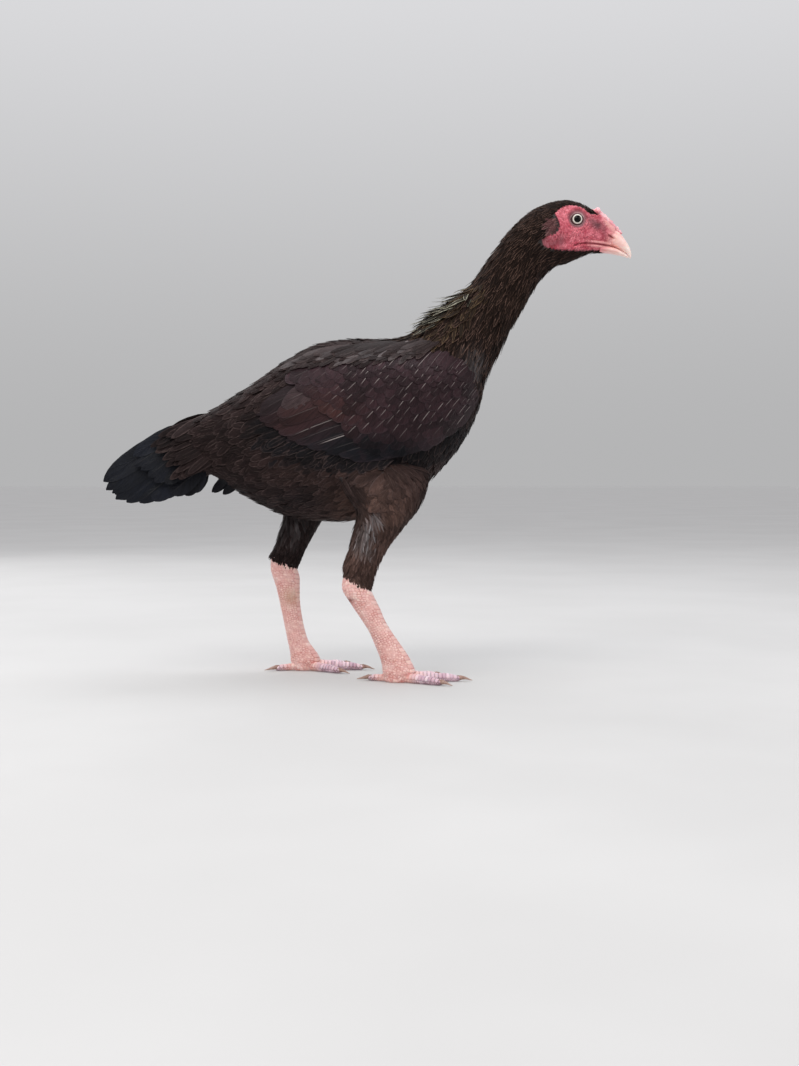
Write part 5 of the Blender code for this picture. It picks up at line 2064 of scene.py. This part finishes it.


# Each feather finish: rufous, gilt, smoke, which also colours painted shade, edge, edge share,
# shaft, shaft share, barbs, roughness, gloss. Its ground is a setting of the same name.
FEATHER_FINISHES = {
    "plumage": (
        (0.088, 0.050, 0.040), (0.024, 0.013, 0.008), (0.0055, 0.0050, 0.0062),
        (0.092, 0.064, 0.060), 0.42, (0.22, 0.17, 0.15), 0.45, 24.0, 0.62, 0.08,
    ),
    "hackle": (
        (0.050, 0.019, 0.015), (0.011, 0.006, 0.0045), (0.005, 0.0045, 0.006),
        (0.19, 0.115, 0.090), 0.66, (0.22, 0.15, 0.09), 0.25, 30.0, 0.62, 0.06,
    ),
    "nape": (
        (0.050, 0.019, 0.015), (0.020, 0.012, 0.008), (0.008, 0.0075, 0.010),
        (0.19, 0.125, 0.068), 0.85, (0.22, 0.17, 0.10), 0.3, 30.0, 0.6, 0.08,
    ),
    "nape_tips": (
        (0.050, 0.019, 0.015), (0.022, 0.017, 0.012), (0.008, 0.0075, 0.010),
        (0.48, 0.46, 0.35), 0.95, (0.22, 0.17, 0.10), 0.3, 30.0, 0.6, 0.08,
    ),
    "ear": (
        (0.10, 0.04, 0.03), (0.12, 0.045, 0.045), (0.045, 0.018, 0.02),
        (0.42, 0.24, 0.225), 0.85, (0.34, 0.2, 0.18), 0.4, 30.0, 0.6, 0.08,
    ),
    # The blue in the wing's smoke colour is partly its own and partly painted sheen.
    "wing_feather": (
        (0.050, 0.0185, 0.0155), (0.026, 0.016, 0.013), (0.0065, 0.0066, 0.0092),
        (0.040, 0.028, 0.033), 0.30, (0.46, 0.40, 0.38), 0.62, 34.0, 0.5, 0.12,
    ),
    # The tail's blue is partly its own colour and partly painted sheen.
    "tail_feather": (
        (0.03, 0.015, 0.012), (0.02, 0.014, 0.012), (0.0042, 0.0056, 0.0105),
        (0.016, 0.017, 0.022), 0.3, (0.10, 0.09, 0.08), 0.4, 46.0, 0.42, 0.14,
    ),
}
PALE = (0.34, 0.31, 0.315)


def coat_colours(nodes, name):
    """Place the group of the coat's colours, with one finish's values."""
    rufous, gilt, dark = FEATHER_FINISHES[name][:3]
    return grouped(
        nodes, "Plumage colours", Ground=colour(*getattr(bpy.context.scene.hen_colours, name)),
        Rufous=colour(*rufous), Pale=colour(*PALE), Gilt=colour(*gilt), Smoke=colour(*dark),
    )


def feather_finish(name):
    """Make the finish of one kind of feather."""
    edge, edges, shaft, shafts, barbs, rough, gloss = FEATHER_FINISHES[name][3:]
    nodes = Finish(name, rough, Specular_IOR_Level=gloss)
    marks = grouped(
        nodes, "Feather marks", Color=coat_colours(nodes, name).outputs["Color"],
        Edge=colour(*edge), Edge_share=edges, Shaft=colour(*shaft), Shaft_share=shafts,
        Barbs=barbs,
    )
    return nodes.end(marks.outputs["Color"], marks.outputs["Height"], 0.00015, 0.8)


def skin_finish():
    """Make the skin: crimson and pebbled on the face, with painted glints and painted shade on it, and
    dark under the coat as painted shade.
    """
    nodes = Finish(
        "skin", 0.48, Subsurface_Weight=0.12, Subsurface_Radius=(0.004, 0.0015, 0.001),
        Subsurface_Scale=0.6,
    )
    tones = bpy.context.scene.hen_colours
    coat = coat_colours(nodes, "plumage")
    # Painted shade: under the coat the skin takes the coat's colours, darkened.
    under = nodes.mix(1.0, coat.outputs["Color"], colour(0.55, 0.52, 0.52), "MULTIPLY")
    grain = grouped(nodes, "Skin grain", Scale=1250.0)
    mottle = nodes.step(grain.outputs["Mottle"], 0.35, 0.66)
    red = nodes.mix(mottle, colour(*tones.face_deep), colour(*tones.face))
    # Painted glints on the tops of the face's pebbles.
    painted_glint = nodes.step(nodes.noise(520.0, 3.0), 0.52, 0.68)
    painted_glint = nodes.times(painted_glint, nodes.step(nodes.share("Grain"), 0.3, 0.9))
    red = nodes.mix(nodes.times(painted_glint, 0.7), red, colour(0.98, 0.47, 0.50))
    red = nodes.over(red, (0.92, 0.50, 0.46), "Cere")
    red = nodes.over(red, (0.28, 0.075, 0.095), "Lobe", 0.75)
    # Painted shade between the face's pebbles, uneven over the face.
    uneven = nodes.step(nodes.noise(130.0, 3.0), 0.35, 0.6, 0.25, 1.0)
    gaps = nodes.times(nodes.step(nodes.share("Grain"), 0.5, 0.0, 0.0, 0.95), uneven)
    gaps = nodes.times(gaps, nodes.math("SUBTRACT", 1.0, nodes.share("Cere")))
    red = nodes.mix(gaps, red, colour(0.28, 0.016, 0.032))
    # Painted shade in the face's creases.
    red = nodes.over(red, (0.24, 0.016, 0.028), "CreaseShade", 0.75)
    red = nodes.over(red, (0.34, 0.13, 0.155), "Rim")
    # Painted shade in the face's hollows and over the eye.
    red = nodes.over(red, (0.075, 0.016, 0.024), "PaintedShade", 0.85)
    shade = nodes.mix(nodes.share("Bare"), under, red)
    return nodes.end(shade, grain.outputs["Height"], 0.00016, 0.7)


def lid_finish():
    """Make the lids: greyish, wrinkled, mottled with pink."""
    nodes = Finish("lid", 0.42)
    grain = grouped(nodes, "Skin grain", Scale=1700.0)
    mottle = nodes.step(grain.outputs["Mottle"], 0.35, 0.66)
    shade = nodes.mix(mottle, colour(0.52, 0.34, 0.34), colour(0.36, 0.16, 0.18))
    return nodes.end(shade, grain.outputs["Height"], 0.00012, 0.8)


def eye_finish():
    """Make the eye: a black pupil in a pearl iris with a dark rim, wet all over."""
    nodes = Finish("eye", 0.16, Specular_IOR_Level=0.08, Coat_Weight=0.12, Coat_Roughness=0.03)
    pearl = colour(*bpy.context.scene.hen_colours.iris)
    rho = nodes.share("Rho")
    turn = nodes.share("Turn")
    rays = nodes.math("SINE", nodes.math("MULTIPLY_ADD", turn, 46.0, nodes.times(rho, 1.4)))
    fine = nodes.noise(1500.0, 3.0)
    flecks = nodes.math("MULTIPLY_ADD", rays, 0.22, fine)
    iris = nodes.mix(nodes.step(flecks, 0.2, 0.85), colour(0.62, 0.58, 0.50), pearl)
    iris = nodes.mix(nodes.step(rho, 4.6, 4.9), iris, colour(0.10, 0.055, 0.055))
    iris = nodes.mix(nodes.step(rho, 3.85, 3.5), iris, colour(0.42, 0.35, 0.29))
    shade = nodes.mix(nodes.step(rho, 3.6, 3.4), iris, colour(0.002, 0.002, 0.002))
    return nodes.end(shade)


def beak_finish():
    """Make the bill's horn: pink at its root, straw towards its tip, faintly banded."""
    nodes = Finish("beak", 0.34, Coat_Weight=0.2, Subsurface_Weight=0.08, Subsurface_Scale=0.002)
    streaks = nodes.add("ShaderNodeTexNoise")
    where = nodes.add("ShaderNodeTexCoord")
    stretch = nodes.add("ShaderNodeMapping")
    stretch.inputs["Scale"].default_value = (60.0, 500.0, 160.0)
    stretch.inputs["Rotation"].default_value = (0.0, math.radians(-38), 0.0)
    nodes.join(where.outputs["Object"], stretch.inputs["Vector"])
    nodes.join(stretch.outputs[0], streaks.inputs["Vector"])
    streaks.inputs["Scale"].default_value = 1.0
    streaks.inputs["Detail"].default_value = 4.0
    lines = nodes.step(streaks.outputs["Fac"], 0.35, 0.65)
    base = nodes.mix(lines, colour(0.88, 0.46, 0.42), colour(0.95, 0.60, 0.54))
    horn = colour(*bpy.context.scene.hen_colours.horn)
    tip = nodes.mix(lines, colour(0.92, 0.66, 0.59), horn)
    shade = nodes.mix(nodes.share("Tip"), base, tip)
    shade = nodes.mix(nodes.share("Cere"), colour(0.70, 0.13, 0.18), shade)
    # Painted shade in the nostrils' slits.
    shade = nodes.over(shade, (0.30, 0.06, 0.06), "NostrilShade", 0.7)
    return nodes.end(shade, lines, 0.00008, 0.6)


def comb_finish():
    """Make the comb: soft red flesh, paler towards its top, partly its own colour and partly painted
    highlight.
    """
    nodes = Finish("comb", 0.45, Subsurface_Weight=0.12, Subsurface_Scale=0.003)
    grain = grouped(nodes, "Skin grain", Scale=1500.0)
    mottle = nodes.step(grain.outputs["Mottle"], 0.35, 0.66)
    low = nodes.mix(mottle, colour(0.50, 0.060, 0.095), colour(0.72, 0.17, 0.22))
    knobs = colour(*bpy.context.scene.hen_colours.comb)
    high = nodes.mix(mottle, colour(0.80, 0.32, 0.37), knobs)
    return nodes.end(nodes.mix(nodes.share("Height"), low, high), grain.outputs["Height"], 0.00014, 0.7)


def leg_finish():
    """Make the scaly legs: pink plates, red between them, lavender on the toes."""
    nodes = Finish("leg", 0.42, Subsurface_Weight=0.1, Subsurface_Scale=0.002)
    tones = bpy.context.scene.hen_colours
    grain = grouped(nodes, "Skin grain", Scale=1100.0)
    cell = nodes.share("Cell")
    plate = nodes.mix(cell, colour(0.74, 0.43, 0.39), colour(*tones.leg))
    mottle = nodes.step(grain.outputs["Mottle"], 0.3, 0.7)
    plate = nodes.mix(nodes.times(mottle, 0.4), plate, colour(0.74, 0.34, 0.31))
    toes = nodes.mix(cell, colour(0.54, 0.34, 0.42), colour(*tones.toe))
    plate = nodes.mix(nodes.share("Toe"), plate, toes)
    deep = nodes.mix(nodes.share("Toe"), colour(0.52, 0.16, 0.14), colour(0.13, 0.055, 0.07))
    uneven = nodes.step(nodes.noise(90.0), 0.35, 0.62, 0.25, 0.9)
    between = nodes.times(nodes.share("Groove"), uneven)
    shade = nodes.mix(between, plate, deep)
    shade = nodes.over(shade, (0.46, 0.27, 0.15), "Stain", 0.55)
    shade = nodes.over(shade, (0.20, 0.035, 0.022), "Wound", 0.85)
    return nodes.end(shade, grain.outputs["Height"], 0.0001, 0.6)


def claw_finish():
    """Make the claws: horn, dark at the root, worn pale at the tip."""
    nodes = Finish("claw", 0.35)
    worn = nodes.noise(420.0, 3.0)
    nail = colour(*bpy.context.scene.hen_colours.claw)
    horn = nodes.mix(nodes.step(worn, 0.35, 0.65), colour(0.20, 0.10, 0.08), nail)
    shade = nodes.mix(nodes.share("Tip"), horn, colour(0.42, 0.29, 0.24))
    return nodes.end(shade, worn, 0.0001, 0.5)


FINISH_MAKERS = {
    "skin": skin_finish, "lid": lid_finish, "eye": eye_finish, "beak": beak_finish,
    "comb": comb_finish, "leg": leg_finish, "claw": claw_finish,
}


def finish(name):
    """Return one of the hen's finishes, made the first time that it is asked for."""
    material = bpy.data.materials.get("hen " + name)
    if material:
        return material
    return feather_finish(name) if name in FEATHER_FINISHES else FINISH_MAKERS[name]()


# The stage.
# The lights: name, place, size, power as a share of the main one's, tint.
LIGHTS = [
    ("key", (-0.8, -1.5, 2.2), 1.5, 1.0, (1.0, 0.98, 0.95)),
    ("fill", (1.9, -1.5, 1.0), 1.8, 0.3, (1, 1, 1)),
    ("top", (0.1, 0.5, 2.3), 1.6, 0.7, (0.95, 0.97, 1.0)),
    ("rim", (-1.4, 1.6, 1.1), 1.2, 0.3, (1, 1, 1)),
]
LIGHT_AIM = (0.0, 0.0, 0.24)
# The floor: radii of its rings in metres, how many sides, how far under the soles.
FLOOR_RADII = [0.02, 1.0, 3.0, 8.0, 30.0]
FLOOR_SIDES = 96
FLOOR_DROP = 0.2 * MM


def add_light(name, place, size, power, tint):
    """Hang one soft square light, turned to the hen."""
    lamp = bpy.data.lights.new(name, "AREA")
    lamp.size = size
    lamp.energy = power
    lamp.color = tint
    thing = bpy.data.objects.new(name, lamp)
    thing.location = place
    thing.rotation_euler = (Vector(LIGHT_AIM) - Vector(place)).to_track_quat("-Z", "Y").to_euler()
    bpy.context.scene.collection.objects.link(thing)


def add_floor():
    """Lay the plain pale floor."""
    count = FLOOR_SIDES
    angles = turns_of(count)
    low = np.full(count, -FLOOR_DROP)
    grid = np.stack([
        np.stack([np.cos(angles) * r, np.sin(angles) * r, low], axis=-1) for r in FLOOR_RADII
    ])
    quads = ring_quads(len(FLOOR_RADII), count)[:, [0, 3, 2, 1]]
    corners = np.concatenate([quads.ravel(), np.arange(count)])
    sizes = np.concatenate([np.full(len(quads), 4), [count]])
    floor = new_mesh("floor", grid.reshape(-1, 3), corners, sizes)
    nodes = Finish("floor", 0.7)
    patch = nodes.step(nodes.noise(3.0), 0.3, 0.7)
    shade = nodes.mix(patch, colour(0.52, 0.515, 0.51), colour(0.55, 0.545, 0.54))
    floor.data.materials.append(nodes.end(shade))


def add_stage(props):
    """Set floor, sky, lights and the camera at the photograph's angle."""
    add_floor()
    world = bpy.data.worlds.new("studio")
    world.use_nodes = True
    nodes = Nodes(world.node_tree)
    where = nodes.add("ShaderNodeTexCoord")
    parts = nodes.add("ShaderNodeSeparateXYZ")
    nodes.join(where.outputs["Generated"], parts.inputs[0])
    rise = nodes.step(parts.outputs[2], 0.0, 0.45)
    sky = nodes.mix(rise, colour(*props.horizon), colour(*props.zenith))
    nodes.join(sky, world.node_tree.nodes["Background"].inputs[0])
    bpy.context.scene.world = world
    bpy.context.scene.view_settings.view_transform = "Standard"
    for name, place, size, share, tint in LIGHTS:
        add_light(name, place, size, props.key_power * share, tint)
    lens = bpy.data.cameras.new("camera")
    lens.lens = props.focal_length
    lens.sensor_width = 36
    camera = bpy.data.objects.new("camera", lens)
    camera.location = props.camera_place
    camera.rotation_euler = (math.radians(90) - props.camera_pitch, 0, 0)
    bpy.context.scene.collection.objects.link(camera)
    bpy.context.scene.camera = camera


# The add-on: its settings, one operator a group of pieces, and its panel.
def colour_setting(name, description, default):
    """Return the setting of one colour."""
    return bpy.props.FloatVectorProperty(
        name=name, description=description, default=default, subtype="COLOR", min=0.0, max=1.0
    )


def share_setting(name, description, most=1.5):
    """Return the setting of a share of the modelled hen's own size."""
    return bpy.props.FloatProperty(
        name=name, description=description, default=1.0, min=0.0, max=most, subtype="FACTOR"
    )


class HenBodySettings(bpy.types.PropertyGroup):
    """Sizes of feathers, comb and claws."""

    seed: bpy.props.IntProperty(
        name="Seed", description="Start of the random draws for the feathers", default=7, min=0
    )
    feather_length: share_setting("Feather length", "Length of the body's feathers")
    nape_lift: share_setting("Nape lift", "How far the hackles stand out at the nape's base")
    streaks: share_setting("Thigh streaks", "How plainly pale streaks show on the thighs", 1.0)
    comb_knobs: share_setting("Comb knobs", "Size of the comb's knobs")
    claw_length: bpy.props.FloatProperty(
        name="Claw length", description="Length of each claw past its toe", default=0.012,
        min=0.004, max=0.02, unit="LENGTH", subtype="DISTANCE", precision=4,
    )


class HenColours(bpy.types.PropertyGroup):
    """Colours of feathers, skin and horn."""

    plumage: colour_setting("Body", "Ground of the body's feathers", (0.0155, 0.0088, 0.0086))
    hackle: colour_setting("Neck", "Ground of the neck's hackles", (0.0085, 0.0048, 0.0050))
    nape: colour_setting("Nape", "Ground of the loose hackles", (0.014, 0.008, 0.007))
    nape_tips: colour_setting("Nape tips", "Ground of the palest loose hackles", (0.016, 0.012, 0.009))
    ear: colour_setting("Ear", "Ground of the small feathers over the ear", (0.125, 0.050, 0.052))
    wing_feather: colour_setting("Wing", "Ground of the wings' feathers", (0.022, 0.0100, 0.0125))
    # The tail's blue is partly its own colour and partly painted sheen.
    tail_feather: colour_setting("Tail", "Ground of the tail's feathers", (0.0052, 0.0052, 0.008))
    face: colour_setting("Face", "Bare skin at its brightest", (0.86, 0.23, 0.285))
    face_deep: colour_setting("Face, deep", "Bare skin at its deepest", (0.50, 0.050, 0.090))
    # The comb's palest pink is partly painted highlight.
    comb: colour_setting("Comb", "The comb's knobs at their palest", (0.93, 0.60, 0.61))
    horn: colour_setting("Bill", "The bill's tip at its palest", (0.98, 0.80, 0.73))
    iris: colour_setting("Iris", "The iris at its palest", (0.88, 0.86, 0.80))
    leg: colour_setting("Legs", "The shanks' scales at their palest", (0.92, 0.67, 0.61))
    toe: colour_setting("Toes", "The toes' scales at their palest", (0.84, 0.64, 0.70))
    claw: colour_setting("Claws", "The claws' horn at its palest", (0.38, 0.23, 0.18))


class HenStageSettings(bpy.types.PropertyGroup):
    """Light, sky and camera."""

    key_power: bpy.props.FloatProperty(
        name="Key light", description="Power of the main light", default=32.0, min=0.0, unit="POWER"
    )
    horizon: colour_setting("Horizon", "The sky low down", (0.46, 0.46, 0.465))
    zenith: colour_setting("Zenith", "The sky overhead", (0.78, 0.78, 0.80))
    camera_place: bpy.props.FloatVectorProperty(
        name="Camera", description="Place of the camera", default=(0.031, -1.48, 0.2),
        subtype="TRANSLATION", unit="LENGTH",
    )
    camera_pitch: bpy.props.FloatProperty(
        name="Pitch", description="How far the camera looks down", default=math.radians(2.17),
        subtype="ANGLE", unit="ROTATION",
    )
    focal_length: bpy.props.FloatProperty(
        name="Focal length", description="The lens, on a sensor 36 mm wide", default=49.65,
        min=10.0, unit="CAMERA",
    )


SETTINGS = {"hen_body": HenBodySettings, "hen_colours": HenColours, "hen_stage": HenStageSettings}


class HEN_OT_skin(bpy.types.Operator):
    """Make the skin, the lids and the eyes"""

    bl_idname = "hen.skin"
    bl_label = "Skin and eyes"

    def execute(self, context):
        add_skin()
        for word in SIDES:
            add_eye(word)
            add_lids(word)
        return {"FINISHED"}


class HEN_OT_horn(bpy.types.Operator):
    """Make the bill and the comb"""

    bl_idname = "hen.horn"
    bl_label = "Bill and comb"

    def execute(self, context):
        add_beak("bill_upper", BEAK_UPPER, "beak_upper")
        add_beak("bill_lower", BEAK_LOWER, "beak_lower")
        body = context.scene.hen_body
        add_comb(body.seed + 1, body.comb_knobs)
        return {"FINISHED"}


class HEN_OT_legs(bpy.types.Operator):
    """Make the bare legs and their claws"""

    bl_idname = "hen.legs"
    bl_label = "Legs and claws"

    def execute(self, context):
        for word in SIDES:
            add_leg(word)
            for number, toe in enumerate(TOES.values(), start=1):
                add_claw(word, number, toe, context.scene.hen_body.claw_length / MM)
        return {"FINISHED"}


class HEN_OT_coat(bpy.types.Operator):
    """Lay the feathers of body, neck, head and thighs"""

    bl_idname = "hen.coat"
    bl_label = "Body feathers"

    def execute(self, context):
        body = context.scene.hen_body
        for number, name in enumerate(TRACTS):
            add_body_coat(name, body.seed + 10 + number, body.feather_length)
        for number, name in enumerate(NAPES):
            add_nape(name, body.seed + 25 + number, body.nape_lift)
        for number, word in enumerate(SIDES):
            add_thigh_coat(word, body.seed + 30 + number, body.streaks)
            add_flank(word, body.seed + 34 + number)
        return {"FINISHED"}


class HEN_OT_wings(bpy.types.Operator):
    """Lay the wings and the tail"""

    bl_idname = "hen.wings"
    bl_label = "Wings and tail"

    def execute(self, context):
        seed = context.scene.hen_body.seed
        for number, word in enumerate(SIDES):
            add_wing(word, seed + 40 + number)
        add_scapulars(seed + 48)
        add_tail("tail_feathers", "tail_feather", [*TAIL_TIERS, VENT_PLUMES], seed + 50)
        add_tail("coat_tail", "plumage", TAIL_COVERTS, seed + 51)
        return {"FINISHED"}


class HEN_OT_stage(bpy.types.Operator):
    """Set the floor, the lights and the camera"""

    bl_idname = "hen.stage"
    bl_label = "Stage"

    def execute(self, context):
        add_stage(context.scene.hen_stage)
        return {"FINISHED"}


STEPS = [HEN_OT_skin, HEN_OT_horn, HEN_OT_legs, HEN_OT_coat, HEN_OT_wings, HEN_OT_stage]


class HEN_PT_panel(bpy.types.Panel):
    """The hen's settings and steps"""

    bl_idname = "HEN_PT_panel"
    bl_label = "Aseel hen"
    bl_space_type = "VIEW_3D"
    bl_region_type = "UI"
    bl_category = "Hen"

    def draw(self, context):
        column = self.layout.column()
        for group, kind in SETTINGS.items():
            column.label(text=kind.__doc__)
            for name in kind.__annotations__:
                column.prop(getattr(context.scene, group), name)
        for step in STEPS:
            column.operator(step.bl_idname)


CLASSES = [*SETTINGS.values(), *STEPS, HEN_PT_panel]


def register():
    """Add the classes and the scene's settings."""
    for one in CLASSES:
        bpy.utils.register_class(one)
    for group, kind in SETTINGS.items():
        setattr(bpy.types.Scene, group, bpy.props.PointerProperty(type=kind))


def unregister():
    """Take them away again."""
    for group in SETTINGS:
        delattr(bpy.types.Scene, group)
    for one in reversed(CLASSES):
        bpy.utils.unregister_class(one)


def main():
    """Make the hen and its stage."""
    register()
    for name in ("skin", "horn", "legs", "coat", "wings", "stage"):
        getattr(bpy.ops.hen, name)()


if __name__ == "__main__":
    main()
